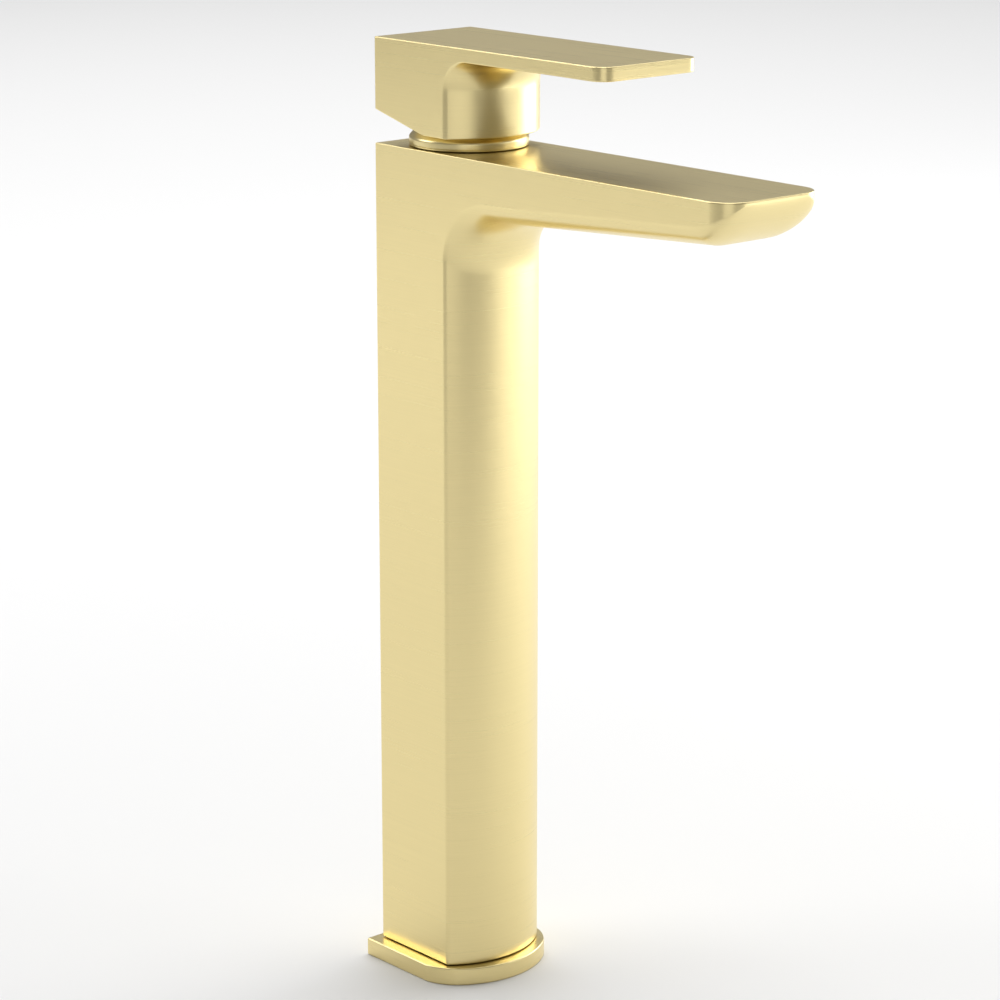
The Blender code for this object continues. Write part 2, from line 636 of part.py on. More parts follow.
def make_supply(side, label, parts):
    """One supply tube from the inlet block up to the cartridge's port, with its two seals."""
    x = side * PORT_X
    bottom = BLOCK_TOP - TUBE_DEPTH_IN_BLOCK
    top = BRIDGE_BOTTOM + TUBE_DEPTH_IN_BRIDGE
    tube = turned(
        f"{label}_supply_tube", tube_profile(TUBE_RADIUS, TUBE_RADIUS - TUBE_WALL, top, bottom), parts, 24
    )
    tube.location = (x, PORT_Y, 0.0)
    finish(tube, RAW_BRASS)
    radius = TUBE_RADIUS + GAP + TUBE_SEAL_SECTION
    upper = BRIDGE_BOTTOM + TUBE_SEAL_POCKET / 2
    lower = BLOCK_TOP - TUBE_SEAL_POCKET / 2
    for place, height in (("upper", upper), ("lower", lower)):
        ring = seal_ring(f"{label}_{place}_tube_seal", radius, TUBE_SEAL_SECTION, height, parts, x, PORT_Y)
        finish(ring, RUBBER)


# ---------------------------------------------------------------- cartridge


def port_cutters(label, bottom, top, cutters):
    """The two inlet holes of a cartridge piece."""
    return [
        rod(f"{label}_{name}", PORT_RADIUS, bottom, top, cutters, side * PORT_X, PORT_Y, SMALL_STEPS)
        for side, name in ((-1, "hot_hole"), (1, "cold_hole"))
    ]


def make_port_seal(side, label, parts):
    seal = turned(
        f"{label}_port_seal",
        tube_profile(SEAL_RADIUS, PORT_RADIUS + GAP, SEAT_HEIGHT + GAP + SEAL_HEIGHT, SEAT_HEIGHT + GAP),
        parts,
        SMALL_STEPS,
    )
    seal.location = (side * PORT_X, PORT_Y, 0.0)
    finish(seal, RUBBER)


def make_cartridge_base(parts, cutters):
    """Lower plate of the cartridge, with the inlet holes and the side outlet."""
    bottom, top = CARTRIDGE_FLOOR, CARTRIDGE_FLOOR + CARTRIDGE_BASE_HEIGHT
    radius = HOUSING_BORE - GAP
    base = rod("cartridge_base", radius, bottom, top, parts)
    outlet = block(
        "base_outlet",
        (-OUTLET_WIDTH / 2, -radius - CUT_THROUGH, bottom + CARTRIDGE_BASE_HEIGHT / 3),
        (OUTLET_WIDTH / 2, -PORT_X + PORT_RADIUS / 2, top + CUT_THROUGH),
        cutters,
    )
    cut(base, outlet, *port_cutters("base", bottom - CUT_THROUGH, top + CUT_THROUGH, cutters))
    finish(base, WHITE_PLASTIC)


def make_discs(parts, cutters):
    """The fixed disc with its three holes, and the moving disc with its mixing recess."""
    radius = HOUSING_BORE - GAP
    bottom = FIXED_DISC_FLOOR
    top = bottom + DISC_THICKNESS
    fixed = rod("fixed_disc", radius, bottom, top, parts)
    outlet = rod("disc_outlet", PORT_RADIUS, bottom - CUT_THROUGH, top + CUT_THROUGH, cutters, 0.0,
                 -PORT_X, SMALL_STEPS)
    cut(fixed, outlet, *port_cutters("disc", bottom - CUT_THROUGH, top + CUT_THROUGH, cutters))
    finish(fixed, CERAMIC)
    bottom = MOVING_DISC_FLOOR
    moving = rod("moving_disc", MOVING_DISC_RADIUS, bottom, bottom + DISC_THICKNESS, parts, 0.0,
                 MOVING_DISC_OFFSET)
    recess = rod("mixing_recess", MIXING_RECESS_RADIUS, bottom - CUT_THROUGH,
                 bottom + MIXING_RECESS_DEPTH, cutters, 0.0, MOVING_DISC_OFFSET - DRIVER_POCKET)
    cut(moving, recess)
    finish(moving, CERAMIC)


def make_driver(parts, cutters):
    """Plate on the moving disc that the stem's ball pushes."""
    bottom = DRIVER_FLOOR
    top = bottom + DRIVER_THICKNESS
    driver = rod("disc_driver", MOVING_DISC_RADIUS, bottom, top, parts, 0.0, MOVING_DISC_OFFSET)
    pocket = rod("driver_pocket", DRIVER_POCKET, bottom + DRIVER_POCKET_FLOOR, top + CUT_THROUGH,
                 cutters, steps=SMALL_STEPS)
    cut(driver, pocket)
    finish(driver, GREY_PLASTIC)


def make_housing(parts, cutters):
    bottom = CARTRIDGE_FLOOR
    roof = HOUSING_TOP - HOUSING_ROOF
    housing = turned(
        "cartridge_housing",
        [
            (HOUSING_RADIUS, HOUSING_TOP),
            (HOUSING_RADIUS, bottom),
            (HOUSING_BORE, bottom),
            (HOUSING_BORE, roof),
            (HOUSING_MOUTH, roof),
            (HOUSING_MOUTH, HOUSING_TOP),
        ],
        parts,
    )
    window = block(
        "housing_window",
        (-OUTLET_WIDTH / 2, -HOUSING_RADIUS - CUT_THROUGH, bottom + CARTRIDGE_BASE_HEIGHT / 3),
        (OUTLET_WIDTH / 2, -HOUSING_BORE / 2, bottom + CARTRIDGE_BASE_HEIGHT),
        cutters,
    )
    cut(housing, window)
    finish(housing, WHITE_PLASTIC)
    section = CHAMBER_RING_SECTION
    middle = (HOUSING_RADIUS + CHAMBER_RADIUS) / 2
    ring = seal_ring("chamber_seal", middle, section, roof - section, parts, steps=ROUND_STEPS)
    finish(ring, RUBBER)


def make_carrier(parts, cutters):
    """Rotor of the cartridge: it carries the stem's pin and turns with the handle."""
    bottom = CARRIER_FLOOR
    shoulder = HOUSING_TOP - HOUSING_ROOF - GAP
    body_radius = HOUSING_BORE - GAP
    profile = [
        (0.0, HOUSING_TOP),
        (CARRIER_NECK_RADIUS, HOUSING_TOP),
        (CARRIER_NECK_RADIUS, shoulder),
        (body_radius, shoulder),
        (body_radius, bottom),
        (0.0, bottom),
    ]
    carrier = solid_of_profile("stem_carrier", profile, parts)
    slot = block(
        "stem_slot",
        (-CARRIER_SLOT_WIDTH / 2, CARRIER_SLOT_FRONT, bottom - CUT_THROUGH),
        (CARRIER_SLOT_WIDTH / 2, CARRIER_SLOT_REAR, HOUSING_TOP + CUT_THROUGH),
        cutters,
    )
    pin_hole = rod("carrier_pin_hole", PIN_RADIUS + THREAD_GAP, -PIN_LENGTH / 2 - GAP,
                   PIN_LENGTH / 2 + GAP, cutters, steps=SMALL_STEPS)
    turn_rod(pin_hole, "x")
    pin_hole.location = (0.0, 0.0, PIVOT_HEIGHT)
    cut(carrier, slot, pin_hole)
    finish(carrier, GREY_PLASTIC)
    pin = rod("stem_pin", PIN_RADIUS, -PIN_LENGTH / 2, PIN_LENGTH / 2, parts, steps=SMALL_STEPS)
    turn_rod(pin, "x")
    pin.location = (0.0, 0.0, PIVOT_HEIGHT)
    finish(pin, STEEL)


def make_stem(parts, cutters):
    """Square stem with a cross hole for its pin, and a ball at its foot that moves the disc."""
    half = STEM_SIDE / 2
    stem = block("stem", (-half, -half, STEM_FOOT), (half, half, STEM_TOP), parts)
    chamfer = stem.modifiers.new("edges", "BEVEL")
    chamfer.width = STEM_EDGE
    chamfer.segments = 1
    neck = rod("stem_neck", STEM_NECK_RADIUS, STEM_BALL_HEIGHT, STEM_FOOT + CUT_THROUGH, cutters,
               steps=12)
    bm = bmesh.new()
    bmesh.ops.create_uvsphere(bm, u_segments=12, v_segments=8, radius=STEM_BALL_RADIUS)
    ball = add_object("stem_ball", bm, cutters)
    ball.location = (0.0, 0.0, STEM_BALL_HEIGHT)
    ball.rotation_euler = (0.0, 0.0, pi / 12)
    join(stem, neck, ball)
    pin_hole = rod("stem_pin_hole", PIN_RADIUS + THREAD_GAP, -STEM_SIDE, STEM_SIDE, cutters,
                   steps=SMALL_STEPS)
    turn_rod(pin_hole, "x")
    pin_hole.location = (0.0, 0.0, PIVOT_HEIGHT)
    cut(stem, pin_hole)
    finish(stem, STEEL)


def make_nut(parts, cutters):
    """Threaded ring that presses the cartridge down, with a neck that the collar screws onto."""
    outer = CHAMBER_RADIUS - THREAD_GAP
    nut = turned(
        "cartridge_nut",
        [
            (NUT_NECK_RADIUS, NUT_NECK_TOP),
            (NUT_NECK_RADIUS, NUT_SHOULDER),
            (outer, NUT_SHOULDER),
            (outer, NUT_FOOT),
            (NUT_BORE, NUT_FOOT),
            (NUT_BORE, NUT_NECK_TOP),
        ],
        parts,
    )
    half = NUT_SLOT_WIDTH / 2
    slots = [
        block("nut_slot", (-half, side * NUT_BORE - NUT_SLOT_REACH, NUT_NECK_TOP - NUT_SLOT_DEPTH),
              (half, side * NUT_BORE + NUT_SLOT_REACH, NUT_NECK_TOP + CUT_THROUGH), cutters)
        for side in (-1, 1)
    ]
    cut(nut, *slots)
    finish(nut, RAW_BRASS)


def make_collar(parts):
    """Round collar over the nut: a low wall, then a dome centred on the pivot that the handle tilts over."""
    steps = 5
    start = asin((DOME_START - PIVOT_HEIGHT) / DOME_RADIUS)
    end = asin((COLLAR_TOP - PIVOT_HEIGHT) / DOME_RADIUS)
    dome = []
    for k in range(steps + 1):
        angle = end + (start - end) * k / steps
        dome.append((DOME_RADIUS * cos(angle), PIVOT_HEIGHT + DOME_RADIUS * sin(angle)))
    thread = NUT_NECK_RADIUS + THREAD_GAP
    profile = dome + [(COLLAR_RADIUS, BODY_TOP + GAP), (thread, BODY_TOP + GAP), (thread, COLLAR_TOP)]
    collar = turned("collar_ring", profile, parts, 40)
    finish(collar, BRASS)


# ---------------------------------------------------------------- handle


def handle_section(x):
    """(y, z) section of the handle at x: a block with a thin lever ahead of it."""
    fillet_steps = 5
    front = round_front(x, COLUMN_HALF_WIDTH, HANDLE_SIDE_EDGE, HANDLE_FRONT)
    tip = LEVER_TIP + corner_setback(x, COLUMN_HALF_WIDTH, LEVER_CORNER)
    under = HANDLE_TOP - LEVER_THICKNESS
    section = [
        (HANDLE_REAR, HANDLE_BOTTOM + HANDLE_CHAMFER_RISE),
        (HANDLE_CHAMFER_START, HANDLE_BOTTOM),
        (front, HANDLE_BOTTOM),
    ]
    for k in range(fillet_steps + 1):
        angle = pi / 2 * k / fillet_steps
        y = front - HANDLE_FILLET * (1 - cos(angle))
        section.append((y, under - HANDLE_FILLET * (1 - sin(angle))))
    return section + [(tip, under), (tip, HANDLE_TOP), (HANDLE_REAR, HANDLE_TOP)]


def make_handle(parts, cutters):
    stations = loft_stations(
        COLUMN_HALF_WIDTH, COLUMN_HALF_WIDTH - LEVER_CORNER, flat_steps=5, round_steps=4
    )
    handle = lofted("handle", stations, handle_section, parts)
    pocket = rod("handle_pocket", HANDLE_POCKET_RADIUS, HANDLE_BOTTOM - CUT_THROUGH, HANDLE_POCKET_TOP,
                 cutters)
    half = STEM_SIDE / 2 + GAP
    socket = block("stem_socket", (-half, -half, HANDLE_POCKET_TOP - CUT_THROUGH),
                   (half, half, STEM_TOP + GAP), cutters)
    cap_seat = CAP_FRONT - GAP
    screw_way = rod("grub_way", GRUB_RADIUS + THREAD_GAP, -cap_seat - CUT_THROUGH, 0.0, cutters,
                    steps=SMALL_STEPS)
    turn_rod(screw_way, "y")
    screw_way.location = (0.0, (cap_seat + CUT_THROUGH) / 2, GRUB_HEIGHT)
    cap_way = rod("cap_way", CAP_RADIUS + GAP, cap_seat, HANDLE_REAR + CUT_THROUGH, cutters, steps=24)
    turn_rod(cap_way, "y")
    cap_way.location = (0.0, (cap_seat + HANDLE_REAR + CUT_THROUGH) / 2, GRUB_HEIGHT)
    cut(handle, pocket, socket, screw_way, cap_way)
    finish(handle, BRASS)


def make_grub_screw(parts, cutters):
    """Set screw from the rear that clamps the handle to the stem."""
    screw = rod("handle_grub_screw", GRUB_RADIUS, GRUB_START, GRUB_END, parts, steps=SMALL_STEPS)
    turn_rod(screw, "y")
    screw.location = (0.0, (GRUB_START + GRUB_END) / 2, GRUB_HEIGHT)
    key = rod("grub_key", GRUB_SOCKET_RADIUS, 0.0, GRUB_SOCKET_DEPTH * 2, cutters, steps=6)
    turn_rod(key, "y")
    key.location = (0.0, GRUB_END, GRUB_HEIGHT)
    cut(screw, key)
    finish(screw, STEEL)


def make_cap(parts):
    """Plain plug that covers the grub screw's hole."""
    cap = rod("screw_cap", CAP_RADIUS, CAP_FRONT, CAP_REAR, parts, steps=24)
    turn_rod(cap, "y")
    cap.location = (0.0, (CAP_FRONT + CAP_REAR) / 2, GRUB_HEIGHT)
    finish(cap, BRASS)


# ---------------------------------------------------------------- outlet


def make_aerator(parts, cutters):
    """Threaded aerator sleeve, its perforated insert and its washer, on the tilted outlet axis."""
    outer = AERATOR_BORE - THREAD_GAP
    inner = outer - AERATOR_WALL
    sill = inner - AERATOR_SILL
    bottom, top = AERATOR_RECESS, AERATOR_RECESS + AERATOR_HEIGHT
    ledge = bottom + AERATOR_SILL
    sleeve = turned(
        "aerator_sleeve",
        [(outer, top), (outer, bottom), (sill, bottom), (sill, ledge), (inner, ledge), (inner, top)],
        parts,
    )
    place_at_outlet(sleeve, 0.0)
    finish(sleeve, BRASS)
    low = ledge + GAP
    insert = rod("aerator_insert", inner - GAP, low, low + INSERT_THICKNESS, parts)
    place_at_outlet(insert, low + INSERT_THICKNESS / 2)
    places = [(0.0, 0.0)]
    for k in range(AERATOR_HOLES_AROUND):
        angle = 2 * pi * k / AERATOR_HOLES_AROUND
        places.append((AERATOR_HOLE_RING * cos(angle), AERATOR_HOLE_RING * sin(angle)))
    for x, y in places:
        hole = rod("insert_hole", AERATOR_HOLE_RADIUS, -INSERT_THICKNESS, INSERT_THICKNESS, cutters,
                   steps=8)
        place_at_outlet(hole, low + INSERT_THICKNESS / 2)
        hole.location += Matrix.Rotation(-outlet_tilt(), 3, "X") @ Vector((x, y, 0.0))
        cut(insert, hole)
    finish(insert, WHITE_PLASTIC)
    washer_low = top + GAP
    washer = turned(
        "aerator_washer", tube_profile(outer, inner, washer_low + WASHER_HEIGHT, washer_low), parts, 24
    )
    place_at_outlet(washer, 0.0)
    finish(washer, RUBBER)


# ---------------------------------------------------------------- deck fixing


def horseshoe_outline():
    """Disc with a wide gap for the hoses, open to the front."""
    half = HORSESHOE_GAP_WIDTH / 2
    start = asin(half / HORSESHOE_RADIUS)
    steps = 24
    arc = []
    for k in range(steps + 1):
        angle = -pi / 2 + start + (2 * pi - 2 * start) * k / steps
        arc.append((HORSESHOE_RADIUS * cos(angle), HORSESHOE_RADIUS * sin(angle)))
    return arc + [(-half, HORSESHOE_GAP_END), (half, HORSESHOE_GAP_END)]


def make_horseshoe(name, top, thickness, look, parts, cutters):
    plate = extruded(name, horseshoe_outline(), top - thickness, top, parts)
    hole = rod(f"{name}_hole", STUD_RADIUS + THREAD_GAP, top - thickness - CUT_THROUGH, top + CUT_THROUGH,
               cutters, 0.0, STUD_Y, SMALL_STEPS)
    cut(plate, hole)
    finish(plate, look)


def make_fixing(parts, cutters):
    """Stud, rubber and steel horseshoe washers, and the nut that clamps them under the deck."""
    stud = rod("fixing_stud", STUD_RADIUS, STUD_BOTTOM, STUD_TOP, parts, 0.0, STUD_Y, SMALL_STEPS)
    finish(stud, STEEL)
    rubber_top = -DECK_THICKNESS
    plate_top = rubber_top - RUBBER_THICKNESS - GAP
    make_horseshoe("horseshoe_rubber", rubber_top, RUBBER_THICKNESS, RUBBER, parts, cutters)
    make_horseshoe("horseshoe_plate", plate_top, PLATE_THICKNESS, STEEL, parts, cutters)
    nut_top = plate_top - PLATE_THICKNESS - GAP
    nut = rod("fixing_nut", FIXING_NUT_RADIUS, nut_top - FIXING_NUT_HEIGHT, nut_top, parts, 0.0,
              STUD_Y, steps=6)
    thread = rod("nut_thread", STUD_RADIUS + THREAD_GAP, nut_top - FIXING_NUT_HEIGHT - CUT_THROUGH,
                 nut_top + CUT_THROUGH, cutters, 0.0, STUD_Y, SMALL_STEPS)
    cut(nut, thread)
    finish(nut, RAW_BRASS)


# ---------------------------------------------------------------- assembly


def add_joint(name, height, parent, collection):
    """An empty on a joint's axis, over the origin, that the moving pieces hang from."""
    joint = bpy.data.objects.new(name, None)
    joint.empty_display_size = HOUSING_RADIUS
    collection.objects.link(joint)
    joint.location = (0.0, 0.0, height)
    if parent:
        joint.parent = parent
        joint.matrix_parent_inverse = Matrix.Translation(-parent.location)
    return joint


def hang(joint, *names):
    """Parents pieces to a joint's empty, where they already are."""
    for name in names:
        piece = bpy.data.objects[name]
        piece.parent = joint
        piece.matrix_parent_inverse = Matrix.Translation(-joint.location)


def main():
    clear_scene()
    parts = new_collection("basin_mixer")
    cutters = new_collection("cutters")
    make_body(parts, cutters)
    make_base(parts, cutters)
    make_inlet_block(parts, cutters)
    for side, label in ((-1, "hot"), (1, "cold")):
        make_block_screw(side, label, parts, cutters)
        make_supply(side, label, parts)
        make_port_seal(side, label, parts)
    make_cartridge_base(parts, cutters)
    make_discs(parts, cutters)
    make_driver(parts, cutters)
    make_housing(parts, cutters)
    make_carrier(parts, cutters)
    make_stem(parts, cutters)
    make_nut(parts, cutters)
    make_collar(parts)
    make_handle(parts, cutters)
    make_grub_screw(parts, cutters)
    make_cap(parts)
    make_aerator(parts, cutters)
    make_fixing(parts, cutters)
    temperature = add_joint("temperature_axis", PIVOT_HEIGHT, None, parts)
    lift = add_joint("lift_axis", PIVOT_HEIGHT, temperature, parts)
    slide = add_joint("disc_track", MOVING_DISC_FLOOR, temperature, parts)
    hang(temperature, "stem_carrier", "stem_pin")
    hang(lift, "handle", "stem", "handle_grub_screw", "screw_cap")
    hang(slide, "moving_disc", "disc_driver")


main()
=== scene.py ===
"""Looks of a tall single-lever basin mixer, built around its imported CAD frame.

Every visible surface is a numpy grid: a closed section carried across the width (body, handle), an outline
carried over an edge profile (base plate, washers), or a profile turned about an axis (collar, aerator).
Positions come from the CAD nodes' boxes; the fields of each class hold only the shapes and small radii.
"""

import json
import logging
from dataclasses import dataclass, field
from enum import Enum
from math import asin, atan, cos, pi, radians, sin
from typing import Any, Sequence

import bmesh
import bpy
import numpy as np
from mathutils import Matrix, Vector


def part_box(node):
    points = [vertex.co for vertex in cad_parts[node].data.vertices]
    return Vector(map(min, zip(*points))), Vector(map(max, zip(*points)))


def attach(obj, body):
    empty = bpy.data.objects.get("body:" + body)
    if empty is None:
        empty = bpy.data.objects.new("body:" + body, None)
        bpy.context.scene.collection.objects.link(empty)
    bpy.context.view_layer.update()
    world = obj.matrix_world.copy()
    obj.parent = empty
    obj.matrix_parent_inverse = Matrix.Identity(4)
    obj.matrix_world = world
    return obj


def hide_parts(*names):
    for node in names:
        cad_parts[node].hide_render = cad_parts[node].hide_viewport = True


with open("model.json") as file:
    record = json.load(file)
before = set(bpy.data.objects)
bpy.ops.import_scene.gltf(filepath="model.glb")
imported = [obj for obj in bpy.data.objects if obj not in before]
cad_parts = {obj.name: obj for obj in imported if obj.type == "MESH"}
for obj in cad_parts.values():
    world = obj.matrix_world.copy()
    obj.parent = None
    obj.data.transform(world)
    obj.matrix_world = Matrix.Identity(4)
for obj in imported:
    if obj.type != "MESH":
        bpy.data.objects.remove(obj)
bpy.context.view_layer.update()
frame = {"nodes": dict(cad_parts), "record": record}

Array = np.ndarray
LOG = logging.getLogger("mixer")
MM = 0.001


class Body(Enum):
    """Moving bodies of the frame."""

    FIXED = "faucet_body"
    ROTOR = "cartridge_rotor"
    DISC = "disc_carriage"
    LEVER = "lever"


class Slot(Enum):
    """Material slots of the record."""

    BRUSHED = "brushed_brass"
    RAW = "raw_brass"
    STEEL = "steel"
    RUBBER = "rubber"
    CERAMIC = "ceramic"
    WHITE = "white_plastic"
    GREY = "grey_plastic"


class Axis(Enum):
    """Axis that a turned piece is built around."""

    UP = "up"
    ALONG_Y = "along_y"


# ---------------------------------------------------------------- grids and meshes


def grid_quads(rows: int, cols: int, wrap_rows: bool = False, wrap_cols: bool = False) -> Array:
    """Quads of a rows x cols point grid, as indices into the flattened grid.

    Args:
        rows: Number of point rows.
        cols: Number of points in a row.
        wrap_rows: Joins the last row back to the first.
        wrap_cols: Joins each row's last point back to its first.

    Returns:
        Array of shape (quads, 4).
    """
    row = np.arange(rows if wrap_rows else rows - 1)[:, None]
    col = np.arange(cols if wrap_cols else cols - 1)[None, :]
    next_row, next_col = (row + 1) % rows, (col + 1) % cols
    corners = (row * cols + col, next_row * cols + col, next_row * cols + next_col, row * cols + next_col)
    return np.stack(np.broadcast_arrays(*corners), axis=-1).reshape(-1, 4)


def make_mesh(name: str, points: Array, quads: Array,
              polygons: Sequence[Sequence[int]] = ()) -> bpy.types.Object:
    """Puts points and faces into a new mesh object at the origin, with its faces turned outwards.

    Args:
        name: Name of the piece.
        points: Array of shape (points, 3), in metres.
        quads: Array of shape (quads, 4).
        polygons: Flat faces with any number of corners.

    Returns:
        The linked object.
    """
    mesh = bpy.data.meshes.new(name)
    mesh.from_pydata(points.tolist(), [], quads.tolist() + [list(p) for p in polygons])
    mesh.update()
    obj = bpy.data.objects.new(name, mesh)
    bpy.context.scene.collection.objects.link(obj)
    tidy_mesh(obj)
    return obj


def tidy_mesh(obj: bpy.types.Object, merge: float = 1e-6) -> None:
    """Merges doubled points, turns all faces outwards and drops faces without area.

    Args:
        obj: Piece to tidy in place.
        merge: Distance in metres under which points become one.
    """
    bm = bmesh.new()
    bm.from_mesh(obj.data)
    bmesh.ops.remove_doubles(bm, verts=bm.verts, dist=merge)
    bmesh.ops.dissolve_degenerate(bm, edges=bm.edges, dist=merge)
    bmesh.ops.recalc_face_normals(bm, faces=bm.faces)
    bm.to_mesh(obj.data)
    bm.free()


def smooth(obj: bpy.types.Object, sharp_degrees: float = 35.0, weighted: bool = True) -> None:
    """Shades a piece smooth, keeps edges above an angle sharp, and lets large faces set the normals.

    Args:
        obj: Piece to shade.
        sharp_degrees: Edges with a larger angle stay sharp.
        weighted: Adds a Weighted Normal modifier.
    """
    obj.data.shade_smooth()
    obj.data.set_sharp_from_angle(angle=radians(sharp_degrees))
    if weighted:
        modifier = obj.modifiers.new("even_normals", "WEIGHTED_NORMAL")
        modifier.keep_sharp = True
        modifier.weight = 80


def turn(name: str, profile: Array, steps: int, axis: Axis = Axis.UP,
         centre: Vector = Vector()) -> bpy.types.Object:
    """Turned piece: each profile point (radius, height) goes once around the axis.

    The surface is (r cos a, r sin a, h) for angle a and profile point (r, h), so a closed profile gives a
    closed ring. Points on the axis fall together and are merged.

    Args:
        name: Name of the piece.
        profile: Closed loop of (radius, height), in metres.
        steps: Points around.
        axis: Direction of the axis; heights run along it.
        centre: Point that the axis passes through, where height is zero.

    Returns:
        The linked object.
    """
    angle = np.linspace(0.0, 2 * pi, steps, endpoint=False)[:, None]
    radius, height = profile[None, :, 0], profile[None, :, 1]
    across, around = radius * np.cos(angle), radius * np.sin(angle)
    along = np.broadcast_to(height, across.shape)
    layout = {Axis.UP: (across, around, along), Axis.ALONG_Y: (across, along, around)}
    points = np.stack(layout[axis], axis=-1).reshape(-1, 3) + np.array(centre)
    return make_mesh(name, points, grid_quads(steps, len(profile), wrap_rows=True, wrap_cols=True))


def arc(centre: tuple[float, float], radius: float, start: float, end: float, steps: int) -> Array:
    """Points on a circle arc in a plane, both ends included.

    Args:
        centre: Centre of the arc.
        radius: Its radius.
        start: First angle in degrees.
        end: Last angle in degrees.
        steps: Number of points.

    Returns:
        Array of shape (steps, 2).
    """
    angle = np.radians(np.linspace(start, end, steps))
    return np.stack((centre[0] + radius * np.cos(angle), centre[1] + radius * np.sin(angle)), axis=-1)


def rounded(corners: Sequence[tuple[float, float, float]], steps: int = 5) -> Array:
    """Closed outline whose corners are replaced by curves tangent to both sides.

    Each corner is (u, v, size): the curve leaves the side at that size before the corner and joins the next
    side at the same size after it, as the quadratic curve through the two points with the corner as its
    handle.

    Args:
        corners: Corner points with the size of each rounding; zero keeps the corner.
        steps: Points on each rounding.

    Returns:
        Array of shape (points, 2).
    """
    made = []
    count = len(corners)
    for k, (u, v, size) in enumerate(corners):
        point = np.array((u, v))
        if size <= 0.0:
            made.append(point[None, :])
            continue
        before = np.array(corners[k - 1][:2]) - point
        after = np.array(corners[(k + 1) % count][:2]) - point
        first = point + before / np.linalg.norm(before) * size
        last = point + after / np.linalg.norm(after) * size
        t = np.linspace(0.0, 1.0, steps)[:, None]
        made.append(first * (1 - t) ** 2 + point * 2 * t * (1 - t) + last * t**2)
    return np.concatenate(made)


def plan_normals(loop: Array) -> Array:
    """Outward unit normals of a closed plan loop, from the direction between each point's neighbours.

    Args:
        loop: Array of shape (points, 2).

    Returns:
        Array of the same shape.
    """
    direction = np.roll(loop, -1, axis=0) - np.roll(loop, 1, axis=0)
    direction /= np.linalg.norm(direction, axis=1)[:, None]
    normal = np.stack((direction[:, 1], -direction[:, 0]), axis=-1)
    x, y = loop[:, 0], loop[:, 1]
    area = np.sum(x * np.roll(y, -1) - y * np.roll(x, -1))
    return normal if area > 0 else -normal


def carve(obj: bpy.types.Object, cutters: Sequence[bpy.types.Object]) -> None:
    """Takes the cutters out of a piece, keeps the result in its mesh and removes the cutters.

    Args:
        obj: Piece that is cut.
        cutters: Closed shapes to take out.
    """
    for cutter in cutters:
        modifier = obj.modifiers.new("cut", "BOOLEAN")
        modifier.operation = "DIFFERENCE"
        modifier.solver = "EXACT"
        modifier.object = cutter
    bpy.context.view_layer.update()
    evaluated = obj.evaluated_get(bpy.context.evaluated_depsgraph_get())
    mesh = bpy.data.meshes.new_from_object(evaluated)
    obj.modifiers.clear()
    obj.data = mesh
    for cutter in cutters:
        bpy.data.objects.remove(cutter, do_unlink=True)


def cylinder(name: str, radius: float, low: float, high: float, centre: Vector, axis: Axis = Axis.UP,
             steps: int = 64) -> bpy.types.Object:
    """Closed cylinder between two heights along its axis, used to cut with.

    Args:
        name: Name of the shape.
        radius: Its radius.
        low: Start along the axis, from the centre.
        high: End along the axis, from the centre.
        centre: Point on the axis.
        axis: Direction of the axis.
        steps: Points around.

    Returns:
        The linked object.
    """
    profile = np.array(((0.0, high), (radius, high), (radius, low), (0.0, low)))
    return turn(name, profile, steps, axis, centre)


def slab(name: str, low: Vector, high: Vector) -> bpy.types.Object:
    """Closed box between two corners, used to cut with."""
    x, y, z = (np.array((low[i], high[i])) for i in range(3))
    ring = np.array(((x[0], y[0]), (x[1], y[0]), (x[1], y[1]), (x[0], y[1])))
    points = np.concatenate([np.column_stack((ring, np.full(4, height))) for height in z])
    return make_mesh(name, points, grid_quads(2, 4, wrap_cols=True), (range(4), range(4, 8)))


def bundle(name: str, centres: Array, radius: float, low: float, high: float,
           steps: int = 16) -> bpy.types.Object:
    """Many upright cylinders in one mesh, used to cut a pattern of holes at once.

    Args:
        name: Name of the shape.
        centres: Array of shape (holes, 2).
        radius: Radius of every cylinder.
        low: Their foot.
        high: Their top.
        steps: Points around each.

    Returns:
        The linked object.
    """
    angle = np.linspace(0.0, 2 * pi, steps, endpoint=False)
    ring = radius * np.stack((np.cos(angle), np.sin(angle)), axis=-1)
    flat = centres[:, None, None, :] + ring[None, None, :, :]
    flat = np.broadcast_to(flat, (len(centres), 2, steps, 2))
    height = np.broadcast_to(np.array((low, high))[None, :, None, None], (len(centres), 2, steps, 1))
    points = np.concatenate((flat, height), axis=-1).reshape(-1, 3)
    first = np.arange(len(centres))[:, None, None] * 2 * steps
    walls = (first + grid_quads(2, steps, wrap_cols=True)[None]).reshape(-1, 4)
    ends = (np.arange(len(centres) * 2)[:, None] * steps + np.arange(steps)).tolist()
    return make_mesh(name, points, walls, ends)


